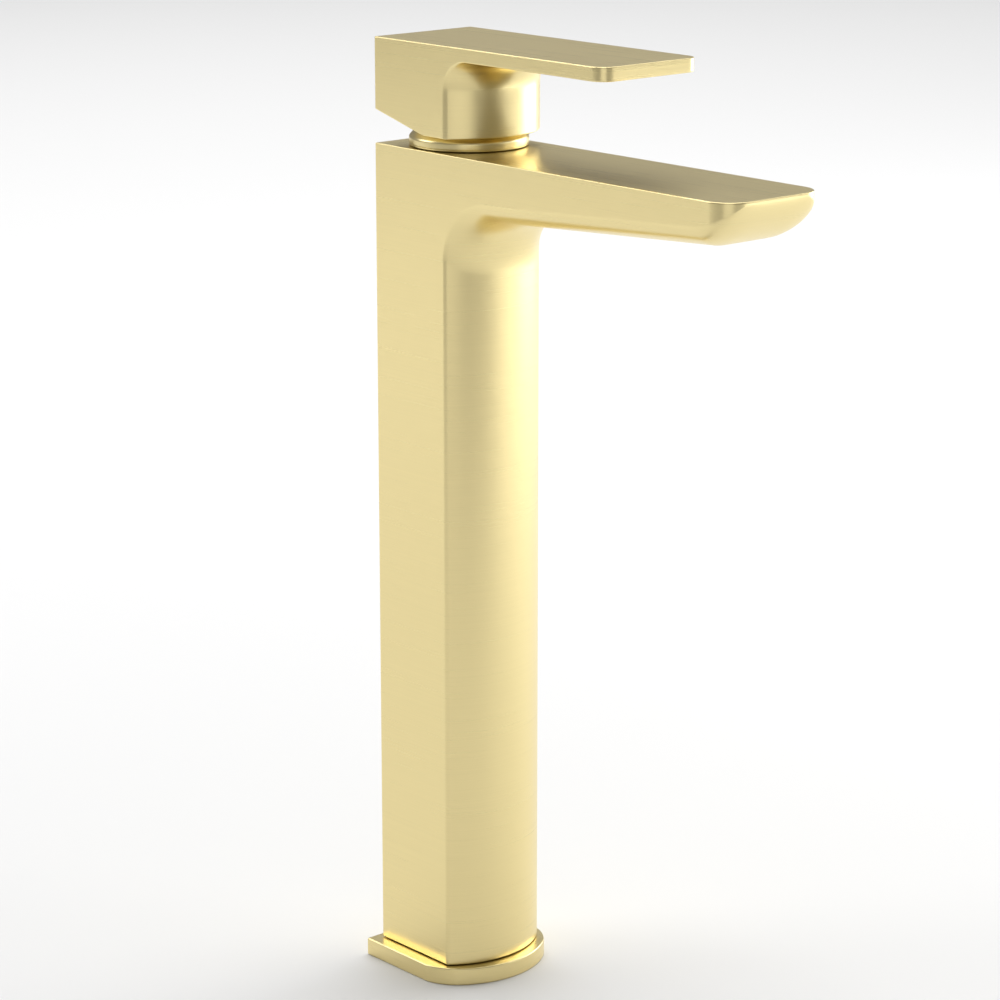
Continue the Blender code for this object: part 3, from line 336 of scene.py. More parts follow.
def threaded(name: str, radius: float, low: float, high: float, axis: Axis, centre: Vector,
             pitch: float = 1.0 * MM, depth: float = 0.45 * MM, steps: int = 36) -> bpy.types.Object:
    """Rod with a helical thread, closed by flat ends.

    At angle a and height h the radius is R - d (1 - e w), where w is a triangle wave of h / pitch - a / 2 pi
    and e fades the ridge out over one pitch at both ends.

    Args:
        name: Name of the piece.
        radius: Radius over the ridges.
        low: Start along the axis.
        high: End along the axis.
        axis: Direction of the axis.
        centre: Point on the axis.
        pitch: Rise of the thread in one turn.
        depth: Height of the ridges.
        steps: Points around.

    Returns:
        The linked object.
    """
    height = np.linspace(low, high, int((high - low) / pitch * 8))[:, None]
    angle = np.linspace(0.0, 2 * pi, steps, endpoint=False)[None, :]
    wave = 1.0 - np.abs(2.0 * np.mod(height / pitch - angle / (2 * pi), 1.0) - 1.0)
    fade = np.clip(np.minimum(height - low, high - height) / pitch, 0.0, 1.0)
    reach = radius - depth * (1.0 - fade * wave)
    across, around = reach * np.cos(angle), reach * np.sin(angle)
    along = np.broadcast_to(height, across.shape)
    layout = {Axis.UP: (across, around, along), Axis.ALONG_Y: (across, along, around)}
    points = np.stack(layout[axis], axis=-1).reshape(-1, 3) + np.array(centre)
    rows = len(height)
    ends = (range(steps), range((rows - 1) * steps, rows * steps))
    return make_mesh(name, points, grid_quads(rows, steps, wrap_cols=True), ends)


def eased_slab(name: str, loop: Array, low: float, high: float, edge: float,
               steps: int = 5) -> bpy.types.Object:
    """Flat piece of any plan with rounded upper and lower edges.

    Args:
        name: Name of the piece.
        loop: Plan outline of shape (points, 2).
        low: Height of its underside.
        high: Height of its top.
        edge: Radius of both edges.
        steps: Points on each edge.

    Returns:
        The linked object.
    """
    normal = plan_normals(loop)
    turned_by = np.linspace(0.0, pi / 2, steps)
    layers = [(loop - normal * edge * (1 - sin(t)), low + edge * (1 - cos(t))) for t in turned_by]
    layers += [(loop - normal * edge * (1 - cos(t)), high - edge * (1 - sin(t))) for t in turned_by]
    points = np.concatenate([np.column_stack((xy, np.full(len(xy), height))) for xy, height in layers])
    count, width = len(layers), len(loop)
    ends = (range(width), range((count - 1) * width, count * width))
    return make_mesh(name, points, grid_quads(count, width, wrap_cols=True), ends)


# ---------------------------------------------------------------- finishes


def node(tree: bpy.types.NodeTree, kind: str, **values: Any) -> bpy.types.Node:
    """Adds a shader node and sets its inputs and properties by name.

    Args:
        tree: Node tree to add to.
        kind: Node type without its ShaderNode prefix.
        values: Input sockets (underscores for spaces) or node properties.

    Returns:
        The new node.
    """
    made = tree.nodes.new("ShaderNode" + kind)
    for key, value in values.items():
        socket = made.inputs.get(key.replace("_", " "))
        if socket is not None:
            socket.default_value = value
        else:
            setattr(made, key, value)
    return made


def start_material(name: str) -> tuple[bpy.types.Material, bpy.types.NodeTree, bpy.types.Node]:
    """New node material with its Principled shader."""
    material = bpy.data.materials.new(name)
    material.use_nodes = True
    tree = material.node_tree
    return material, tree, tree.nodes["Principled BSDF"]


def stretched_noise(tree: bpy.types.NodeTree, scale: tuple[float, float, float],
                    detail: float = 3.0) -> bpy.types.Node:
    """Noise on Object coordinates, stretched by its three scales in features per metre.

    Args:
        tree: Node tree to add to.
        scale: Features per metre along x, y and z.
        detail: Number of finer octaves.

    Returns:
        The noise node.
    """
    coordinates = node(tree, "TexCoord")
    mapping = node(tree, "Mapping", Scale=scale)
    noise = node(tree, "TexNoise", Scale=1.0, Detail=detail, Roughness=0.6)
    tree.links.new(coordinates.outputs["Object"], mapping.inputs["Vector"])
    tree.links.new(mapping.outputs["Vector"], noise.inputs["Vector"])
    return noise


def spread(tree: bpy.types.NodeTree, source: bpy.types.NodeSocket, low: float,
           high: float) -> bpy.types.NodeSocket:
    """Maps a noise value from its middle range to low..high."""
    ranged = node(tree, "MapRange", From_Min=0.3, From_Max=0.7, To_Min=low, To_Max=high)
    tree.links.new(source, ranged.inputs["Value"])
    return ranged.outputs["Result"]


def tinted(tree: bpy.types.NodeTree, source: bpy.types.NodeSocket, dark: Sequence[float],
           light: Sequence[float]) -> bpy.types.NodeSocket:
    """Colour between dark and light that follows a noise value."""
    ramp = node(tree, "ValToRGB")
    ramp.color_ramp.elements[0].position, ramp.color_ramp.elements[1].position = 0.3, 0.7
    ramp.color_ramp.elements[0].color = (*dark, 1.0)
    ramp.color_ramp.elements[1].color = (*light, 1.0)
    tree.links.new(source, ramp.inputs["Fac"])
    return ramp.outputs["Color"]


def scaled(color: Sequence[float], factor: float) -> tuple[float, ...]:
    """A colour made lighter or darker."""
    return tuple(min(1.0, channel * factor) for channel in color)


@dataclass(frozen=True)
class BrushedBrass:
    """Satin brass, brushed level on upright faces and lengthwise on flat tops.

    Fine streaks come from two noises stretched along the brush: one for upright faces, whose streaks run
    level, and one for faces that look up or down, whose streaks run along y. The face's own normal picks
    between them.
    """

    name: str = "brushed_brass"
    color: tuple[float, float, float] = (0.86, 0.725, 0.37)
    roughness: tuple[float, float] = (0.27, 0.31)
    contrast: tuple[float, float] = (0.975, 1.015)
    streaks_per_metre: float = 3200.0
    streak_length: float = 9.0
    relief: float = 0.00001

    def build(self) -> bpy.types.Material:
        """Makes the material.

        Returns:
            The brushed brass material.
        """
        material, tree, shader = start_material(self.name)
        fine, long = self.streaks_per_metre, self.streak_length
        upright = stretched_noise(tree, (long, long, fine))
        level = stretched_noise(tree, (fine, long, long))
        geometry = node(tree, "NewGeometry")
        split = node(tree, "SeparateXYZ")
        tree.links.new(geometry.outputs["Normal"], split.inputs["Vector"])
        facing_up = node(tree, "Math", operation="ABSOLUTE")
        tree.links.new(split.outputs["Z"], facing_up.inputs[0])
        pick = node(tree, "MapRange", From_Min=0.6, From_Max=0.8)
        tree.links.new(facing_up.outputs[0], pick.inputs["Value"])
        streak = node(tree, "Mix", data_type="FLOAT")
        tree.links.new(pick.outputs["Result"], streak.inputs[0])
        tree.links.new(upright.outputs["Fac"], streak.inputs[2])
        tree.links.new(level.outputs["Fac"], streak.inputs[3])
        value = streak.outputs[0]
        dark, light = (scaled(self.color, factor) for factor in self.contrast)
        tree.links.new(tinted(tree, value, dark, light), shader.inputs["Base Color"])
        tree.links.new(spread(tree, value, *self.roughness), shader.inputs["Roughness"])
        shader.inputs["Metallic"].default_value = 1.0
        bump = node(tree, "Bump", Strength=0.25, Distance=self.relief)
        tree.links.new(value, bump.inputs["Height"])
        tree.links.new(bump.outputs["Normal"], shader.inputs["Normal"])
        return material


@dataclass(frozen=True)
class MachinedMetal:
    """Turned or sawn metal: ring marks across the axis and slight clouding."""

    name: str
    color: tuple[float, float, float]
    roughness: tuple[float, float] = (0.28, 0.42)
    marks_per_metre: float = 3500.0
    relief: float = 0.00002

    def build(self) -> bpy.types.Material:
        """Makes the material.

        Returns:
            The machined metal material.
        """
        material, tree, shader = start_material(self.name)
        marks = stretched_noise(tree, (30.0, 30.0, self.marks_per_metre))
        clouds = stretched_noise(tree, (160.0, 160.0, 160.0))
        tree.links.new(tinted(tree, clouds.outputs["Fac"], scaled(self.color, 0.85), self.color),
                       shader.inputs["Base Color"])
        tree.links.new(spread(tree, marks.outputs["Fac"], *self.roughness), shader.inputs["Roughness"])
        shader.inputs["Metallic"].default_value = 1.0
        bump = node(tree, "Bump", Strength=0.4, Distance=self.relief)
        tree.links.new(marks.outputs["Fac"], bump.inputs["Height"])
        tree.links.new(bump.outputs["Normal"], shader.inputs["Normal"])
        return material


@dataclass(frozen=True)
class Moulded:
    """Rubber, plastic or fired ceramic: fine grain and a slightly uneven colour."""

    name: str
    color: tuple[float, float, float]
    roughness: tuple[float, float]
    grain_per_metre: float = 3000.0
    relief: float = 0.00003

    def build(self) -> bpy.types.Material:
        """Makes the material.

        Returns:
            The moulded material.
        """
        material, tree, shader = start_material(self.name)
        grain = stretched_noise(tree, (self.grain_per_metre,) * 3)
        clouds = stretched_noise(tree, (120.0,) * 3)
        color = tinted(tree, clouds.outputs["Fac"], scaled(self.color, 0.88), scaled(self.color, 1.06))
        tree.links.new(color, shader.inputs["Base Color"])
        tree.links.new(spread(tree, grain.outputs["Fac"], *self.roughness), shader.inputs["Roughness"])
        bump = node(tree, "Bump", Strength=0.3, Distance=self.relief)
        tree.links.new(grain.outputs["Fac"], bump.inputs["Height"])
        tree.links.new(bump.outputs["Normal"], shader.inputs["Normal"])
        return material


@dataclass
class Finishes:
    """One material for each slot of the record, built once and shared."""

    made: dict[Slot, bpy.types.Material] = field(default_factory=dict)

    def build(self) -> "Finishes":
        """Makes every material.

        Returns:
            This holder, filled.
        """
        sources = {
            Slot.BRUSHED: BrushedBrass(),
            Slot.RAW: MachinedMetal("machined_brass", (0.78, 0.60, 0.29)),
            Slot.STEEL: MachinedMetal("satin_steel", (0.60, 0.60, 0.60), (0.25, 0.38)),
            Slot.RUBBER: Moulded("black_rubber", (0.022, 0.022, 0.023), (0.65, 0.85)),
            Slot.CERAMIC: Moulded("lapped_ceramic", (0.84, 0.83, 0.78), (0.12, 0.20)),
            Slot.WHITE: Moulded("white_acetal", (0.80, 0.80, 0.77), (0.38, 0.50)),
            Slot.GREY: Moulded("grey_acetal", (0.30, 0.32, 0.35), (0.40, 0.55)),
        }
        self.made = {slot: source.build() for slot, source in sources.items()}
        return self

    def dress(self, obj: bpy.types.Object, slot: Slot) -> None:
        """Gives a piece the material of a slot.

        Args:
            obj: New piece or carried-over CAD node.
            slot: Slot of the record.
        """
        obj.data.materials.clear()
        obj.data.materials.append(self.made[slot])


@dataclass
class Piece:
    """What every sub-assembly needs: the finishes, and how a new piece joins the frame."""

    finishes: Finishes

    def settle(self, obj: bpy.types.Object, slot: Slot, body: Body, *nodes: str) -> bpy.types.Object:
        """Dresses a new piece, lets it stand for CAD nodes and ride on their body.

        Args:
            obj: Finished piece at the origin.
            slot: Slot of the record for its finish.
            body: Body that it moves with.
            nodes: CAD nodes that it stands for.

        Returns:
            The same piece.
        """
        self.finishes.dress(obj, slot)
        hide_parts(*nodes)
        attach(obj, body.value)
        LOG.info("%s: %d faces, stands for %s", obj.name, len(obj.data.polygons), ", ".join(nodes))
        return obj


# ---------------------------------------------------------------- lofted brass pieces


def round_front(x: Array, half_width: float, side_edge: float, front: float) -> Array:
    """y of the round front at x: the circle through both side edges and the middle of the front."""
    sag = side_edge - front
    radius = (half_width**2 + sag**2) / (2 * sag)
    return front + radius - np.sqrt(radius**2 - x**2)


def corner_setback(x: Array, half_width: float, radius: float) -> Array:
    """How far a rounded plan corner lies behind the straight front edge at x."""
    beyond = np.maximum(0.0, np.abs(x) - (half_width - radius))
    return radius - np.sqrt(np.maximum(0.0, radius**2 - beyond**2))


def soft_rise(share: Array, power: float) -> Array:
    """Share of a rise reached along its length: 1 - (1 - s^p)^(1/p), level at 0 and upright at 1."""
    share = np.clip(share, 0.0, 1.0)
    return 1.0 - np.maximum(0.0, 1.0 - share**power) ** (1 / power)


@dataclass
class LoftedPiece(Piece):
    """A brass block whose upright section changes across its width.

    The section at x is an open path of (y, z) points: down the rear, forward under the block, up its round
    front, around the fillet and out to the tip. Each path point k is carried across the width and, near the
    sides, over an edge of radius r_k: x = a - r + r sin t and the point moves into the block by
    r (1 - cos t). A rim of the same kind joins the whole upper outline to the flat top.
    """

    top_edge: float = 0.35 * MM
    corner: float = 0.4 * MM
    column_edge: float = 0.9 * MM
    edge_steps: int = 6
    half_width: float = 0.0

    def path(self, x: Array) -> tuple[Array, Array]:
        """Path points for an array of x with one column for each path point."""
        raise NotImplementedError

    def edge_radii(self) -> Array:
        """Edge radius of each path point."""
        raise NotImplementedError

    def stations(self) -> Array:
        """Shares of the half width from 0 to 1: even at first, closing up at the side."""
        even = np.linspace(0.0, 0.6, 13)
        closing = 0.6 + 0.4 * np.sin(np.linspace(0.0, pi / 2, 21)[1:])
        return np.concatenate((even, closing))

    def surface(self) -> Array:
        """Grid of points over the whole width, row by row from the left side to the right.

        Returns:
            Array of shape (rows, path points, 3).
        """
        radii = self.edge_radii()[None, :]
        share = self.stations()[:, None]
        turned_by = np.linspace(0.0, pi / 2, self.edge_steps)[1:, None]
        across = np.concatenate((share * (self.half_width - radii),
                                 self.half_width - radii + radii * np.sin(turned_by)))
        inset = np.concatenate((np.zeros((len(share), radii.shape[1])), radii * (1 - np.cos(turned_by))))
        y, z = self.path(across)
        along_y, along_z = np.gradient(y, axis=1), np.gradient(z, axis=1)
        length = np.maximum(np.hypot(along_y, along_z), 1e-12)
        y, z = y + along_z / length * inset, z - along_y / length * inset
        right = np.stack((across, y, z), axis=-1)
        left = right[:0:-1] * np.array((-1.0, 1.0, 1.0))
        return np.concatenate((left, right))

    def shell(self, name: str, top: float) -> bpy.types.Object:
        """Closed block: the carried section, both flat sides, the rim and the flat top.

        Args:
            name: Name of the piece.
            top: Height of the flat top.

        Returns:
            The linked object.
        """
        grid = self.surface()
        rows, cols = grid.shape[:2]
        side_left, side_right = range(cols), range((rows - 1) * cols, rows * cols)
        front_edge = np.arange(rows) * cols + cols - 1
        rear_edge = (np.arange(rows) * cols)[::-1]
        outline = np.concatenate((front_edge, rear_edge))
        points = grid.reshape(-1, 3)
        loop = points[outline][:, :2]
        normal = plan_normals(loop)
        turned_by = np.linspace(0.0, pi / 2, self.edge_steps)[1:]
        layers = [
            np.column_stack((loop - normal * self.top_edge * (1 - cos(t)),
                             np.full(len(loop), top - self.top_edge * (1 - sin(t)))))
            for t in turned_by
        ]
        count, width = len(points), len(loop)
        rim = count + np.arange(len(layers) * width).reshape(len(layers), width)
        rings = np.concatenate((outline[None, :], rim))
        quads = np.concatenate((grid_quads(rows, cols), rings.reshape(-1)[
            grid_quads(len(rings), width, wrap_cols=True)]))
        polygons = (list(side_left), list(side_right), list(rim[-1]))
        return make_mesh(name, np.concatenate([points, *layers]), quads, polygons)


def run(start: Array, end: Array, steps: int) -> Array:
    """Straight run between two columns of values, without its end.

    Args:
        start: Values at the start, shape (rows, 1) or a number.
        end: Values at the end.
        steps: Points on the run.

    Returns:
        Array of shape (rows, steps).
    """
    t = np.linspace(0.0, 1.0, steps, endpoint=False)[None, :]
    return start * (1 - t) + end * t


@dataclass
class BodyCasting(LoftedPiece):
    """Column and spout in one casting, hollow inside, with its chamber and its outlet."""

    side_edge: float = -11.3 * MM
    front: float = -18.7 * MM
    tip_corner: float = 8.3 * MM
    root_depth: float = 22.4 * MM
    taper: float = 0.0615
    side_inset: float = 12.0 * MM
    side_rise: float = 7.0 * MM
    bow_length: float = 13.0 * MM
    bow_softness: float = 1.6
    side_softness: float = 2.2
    lip: float = 0.7 * MM
    lip_share: float = 0.8  # of the lip that stands above the side's bowed part
    waterway_half_width: float = 8.0 * MM
    waterway_depth: float = 4.2 * MM  # of its floor, below the cartridge housing's top
    waterway_height: float = 6.5 * MM
    shaft_front: float = -11.0 * MM
    shaft_depth: float = 6.0 * MM  # of its ceiling, below the supply tubes' top
    gap: float = 0.3 * MM
    fillet: float = 19.0 * MM
    outlet_y: float = -110.0 * MM
    outlet_radius: float = 9.2 * MM
    outlet_depth: float = 8.6 * MM
    wall: float = 3.0 * MM
    segments: tuple[int, ...] = (16, 6, 4, 6, 20, 26, 14, 34, 2)

    def __post_init__(self) -> None:
        """Reads the casting's place from its CAD node."""
        low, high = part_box("body_casting")
        self.half_width = high.x
        self.rear, self.tip = high.y, low.y
        self.bottom, self.top = low.z, high.z

    def underside(self, x: Array, y: Array) -> Array:
        """Height of the spout's underside: a tapered plane, soft at the sides and bowed up at the tip.

        The bow rises from the plane to the lip along y, the sides rise across x, and the side's rise fades as
        the bow rises, so both die out at the tip's upper edge.

        Args:
            x: Points across the width.
            y: Points along the spout.

        Returns:
            Heights, one for each point.
        """
        plane = self.top - self.root_depth - self.taper * y
        room = self.top - self.lip - plane
        bow = soft_rise((self.tip + self.bow_length - y) / self.bow_length, self.bow_softness)
        beyond = np.maximum(0.0, self.tip + self.tip_corner - y)
        half = self.half_width - self.tip_corner + np.sqrt(np.maximum(0.0, self.tip_corner**2 - beyond**2))
        side = soft_rise((np.abs(x) - half + self.side_inset) / self.side_inset, self.side_softness)
        return plane + room * bow + self.side_rise * side * (1.0 - bow)

    def path(self, x: Array) -> tuple[Array, Array]:
        """Rear, foot, round front, fillet, underside and bow of the casting.

        Args:
            x: Array of shape (rows, path points).

        Returns:
            y and z of the same shape.
        """
        ends = np.cumsum(self.segments)
        parts = np.split(x, ends[:-1], axis=1)
        c, steps = self.corner, self.segments
        front = [round_front(p, self.half_width, self.side_edge, self.front) for p in parts]
        quarter = [np.linspace(0.0, pi / 2, n, endpoint=False)[None, :] for n in steps]
        ones = [np.ones_like(p) for p in parts]
        y = [self.rear * ones[0]]
        z = [run(self.top - self.top_edge, self.bottom + c, steps[0]) * ones[0]]
        y.append((self.rear - c + c * np.cos(quarter[1])) * ones[1])
        z.append((self.bottom + c - c * np.sin(quarter[1])) * ones[1])
        y.append(run(0.0, 1.0, steps[2]) * (front[2] + c - self.rear + c) + self.rear - c)
        z.append(self.bottom * ones[2])
        y.append(front[3] + c - c * np.sin(quarter[3]))
        z.append((self.bottom + c - c * np.cos(quarter[3])) * ones[3])
        base = [self.underside(p, f - self.fillet) - self.fillet for p, f in zip(parts, front)]
        climb = np.linspace(0.0, 1.0, steps[4], endpoint=False)[None, :]
        y.append(front[4])
        z.append(self.bottom + c + (base[4] - self.bottom - c) * climb)
        y.append(front[5] - self.fillet * (1 - np.cos(quarter[5])))
        z.append(base[5] + self.fillet * np.sin(quarter[5]))
        tip = [self.tip + corner_setback(p, self.half_width, self.tip_corner) for p in parts]
        bow_start = [t + self.bow_length for t in tip]
        y6 = (front[6] - self.fillet) * (1 - run(0.0, 1.0, steps[6])) + bow_start[6] * run(0.0, 1.0, steps[6])
        y.append(y6)
        z.append(self.underside(parts[6], y6))
        y7 = bow_start[7] - self.bow_length * np.sin(np.linspace(0.0, pi / 2, steps[7])[None, :])
        y.append(y7)
        z.append(self.underside(parts[7], y7))
        y.append(tip[8])
        lip_height = self.lip * self.lip_share
        z.append(run(self.top - lip_height, self.top - self.top_edge, 2)[:, :1] * ones[8]
                 + (lip_height - self.top_edge) * np.array([[0.0, 1.0]]))
        return np.concatenate(y, axis=1), np.concatenate(z, axis=1)

    def edge_radii(self) -> Array:
        """Small at the rear and foot, wider on the front's upright edges, fading out around the fillet."""
        rear, foot, under, toe, front, fillet, *rest = self.segments
        small, tiny = self.corner, 0.02 * MM
        fade = 0.5 + 0.5 * np.cos(np.linspace(0.0, pi, int(fillet * 0.7)))
        return np.concatenate((
            np.full(rear + foot + under, small),
            np.linspace(small, self.column_edge, toe),
            np.full(front, self.column_edge),
            tiny + (self.column_edge - tiny) * fade,
            np.full(fillet - len(fade) + sum(rest), tiny),
        ))

    def outlet_frame(self) -> Matrix:
        """Placement of the outlet: its foot on the spout's underside, with the axis square to it."""
        foot = Vector((0.0, self.outlet_y, float(self.underside(np.zeros(1), np.full(1, self.outlet_y))[0])))
        return Matrix.Translation(foot) @ Matrix.Rotation(-atan(self.taper), 4, "X")

    def hollows(self) -> list[bpy.types.Object]:
        """Cutters: the cartridge chamber, the outlet bore, the waterway and the open foot."""
        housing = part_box("cartridge_housing")
        tube_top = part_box("hot_supply_tube")[1].z
        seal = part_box("hot_port_seal")[0].z
        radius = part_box("cartridge_nut")[1].x + self.gap
        chamber = cylinder("chamber", radius, seal - self.gap, self.top + MM, Vector())
        bore = cylinder("bore", self.outlet_radius, -MM, self.outlet_depth, Vector())
        bore.data.transform(self.outlet_frame())
        side, floor = self.waterway_half_width, housing[1].z - self.waterway_depth
        waterway = slab("waterway", Vector((-side, self.outlet_y, floor)),
                        Vector((side, 0.0, floor + self.waterway_height)))
        half = self.half_width - self.wall
        shaft = slab("shaft", Vector((-half, self.shaft_front, self.bottom - MM)),
                     Vector((half, self.rear - self.wall, tube_top - self.shaft_depth)))
        return [chamber, bore, waterway, shaft]

    def build(self) -> bpy.types.Object:
        """Makes the casting.

        Returns:
            The finished piece.
        """
        body = self.shell("body_casting_brass", self.top)
        carve(body, self.hollows())
        smooth(body)
        return self.settle(body, Slot.BRUSHED, Body.FIXED, "body_casting")


@dataclass
class Handle(LoftedPiece):
    """Handle block with its thin lever, its pocket over the collar and its screw hole at the rear."""

    side_edge: float = -11.3 * MM
    front: float = -21.2 * MM
    chamfer_start: float = -1.0 * MM
    chamfer_rise: float = 6.1 * MM
    fillet: float = 10.0 * MM
    lever_thickness: float = 4.45 * MM
    lever_corner: float = 4.8 * MM
    column_edge: float = 0.8 * MM
    pocket_wall: float = 2.0 * MM
    pocket_height: float = 11.25 * MM
    segments: tuple[int, ...] = (10, 6, 6, 6, 6, 8, 16, 22, 6, 4)

    def __post_init__(self) -> None:
        """Reads the handle's place from its CAD node."""
        low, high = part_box("handle")
        self.half_width = high.x
        self.rear, self.tip = high.y, low.y
        self.bottom, self.top = low.z, high.z

    def path(self, x: Array) -> tuple[Array, Array]:
        """Rear, sloped rear bottom, flat bottom, round front, fillet, lever underside and tip.

        Args:
            x: Array of shape (rows, path points).

        Returns:
            y and z of the same shape.
        """
        steps = self.segments
        parts = np.split(x, np.cumsum(steps)[:-1], axis=1)
        ones = [np.ones_like(p) for p in parts]
        front = [round_front(p, self.half_width, self.side_edge, self.front) for p in parts]
        tip = [self.tip + corner_setback(p, self.half_width, self.lever_corner) for p in parts]
        quarter = [np.linspace(0.0, pi / 2, n, endpoint=False)[None, :] for n in steps]
        share = [np.linspace(0.0, 1.0, n, endpoint=False)[None, :] for n in steps]
        c, under = self.corner, self.top - self.lever_thickness
        slope = self.chamfer_rise / (self.rear - self.chamfer_start)
        rear_low = self.bottom + self.chamfer_rise
        y = [self.rear * ones[0]]
        z = [(self.top - self.top_edge) * (1 - share[0]) + (rear_low + c) * share[0] * ones[0]]
        z[0] = z[0] * ones[0]
        bend = share[1]
        y.append((self.rear - c * bend**2) * ones[1])
        z.append((rear_low + c * (1 - bend) ** 2 - slope * c * bend**2) * ones[1])
        y.append(((self.rear - c) * (1 - share[2]) + self.chamfer_start * share[2]) * ones[2])
        z.append(self.bottom + (y[2] - self.chamfer_start) * slope)
        y.append(self.chamfer_start + (front[3] + c - self.chamfer_start) * share[3])
        z.append(self.bottom * ones[3])
        y.append(front[4] + c - c * np.sin(quarter[4]))
        z.append((self.bottom + c - c * np.cos(quarter[4])) * ones[4])
        y.append(front[5])
        z.append((self.bottom + c + (under - self.fillet - self.bottom - c) * share[5]) * ones[5])
        y.append(front[6] - self.fillet * (1 - np.cos(quarter[6])))
        z.append((under - self.fillet * (1 - np.sin(quarter[6]))) * ones[6])
        start = front[7] - self.fillet
        y.append(start + (tip[7] + c - start) * share[7])
        z.append(under * ones[7])
        y.append(tip[8] + c - c * np.sin(quarter[8]))
        z.append((under + c - c * np.cos(quarter[8])) * ones[8])
        rise = np.linspace(0.0, 1.0, steps[9])[None, :]
        y.append(tip[9])
        z.append((under + c + (self.lever_thickness - c - self.top_edge) * rise) * ones[9])
        return np.concatenate(y, axis=1), np.concatenate(z, axis=1)

    def edge_radii(self) -> Array:
        """Even along the block, wider on its front's upright edges, small under the lever, 0 at its tip."""
        rear, bend, slope, flat, toe, front, fillet, under, nose, lip = self.segments
        small, tiny = self.corner, 0.02 * MM
        fade = np.clip(np.linspace(4.0, 0.0, under), 0.0, 1.0)
        return np.concatenate((
            np.full(rear + bend + slope + flat, small),
            np.linspace(small, self.column_edge, toe),
            np.full(front, self.column_edge),
            np.linspace(self.column_edge, small, fillet),
            tiny + (small - tiny) * fade,
            np.full(nose + lip, tiny),
        ))

    def build(self) -> bpy.types.Object:
        """Makes the handle.

        Returns:
            The finished piece.
        """
        handle = self.shell("handle_brass", self.top)
        stem_low, stem_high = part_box("stem")
        cap_low, cap_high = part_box("screw_cap")
        screw_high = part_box("handle_grub_screw")[1]
        gap, cap_gap = 0.3 * MM, 0.12 * MM
        axis_height = (cap_low.z + cap_high.z) / 2
        on_axis = Vector((0.0, 0.0, axis_height))
        pocket_top = self.bottom + self.pocket_height
        cutters = [
            cylinder("pocket", self.half_width - self.pocket_wall, self.bottom - MM, pocket_top, Vector()),
            slab("socket", Vector((stem_low.x - gap, stem_low.x - gap, pocket_top - MM)),
                 Vector((stem_high.x + gap, stem_high.x + gap, stem_high.z + gap))),
            cylinder("screw_way", screw_high.x + gap, 0.0, cap_low.y, on_axis, Axis.ALONG_Y, 32),
            cylinder("cap_way", cap_high.x + cap_gap, cap_low.y - gap, self.rear + MM, on_axis, Axis.ALONG_Y),
        ]
        carve(handle, cutters)
        smooth(handle)
        return self.settle(handle, Slot.BRUSHED, Body.LEVER, "handle")


# ---------------------------------------------------------------- base plate


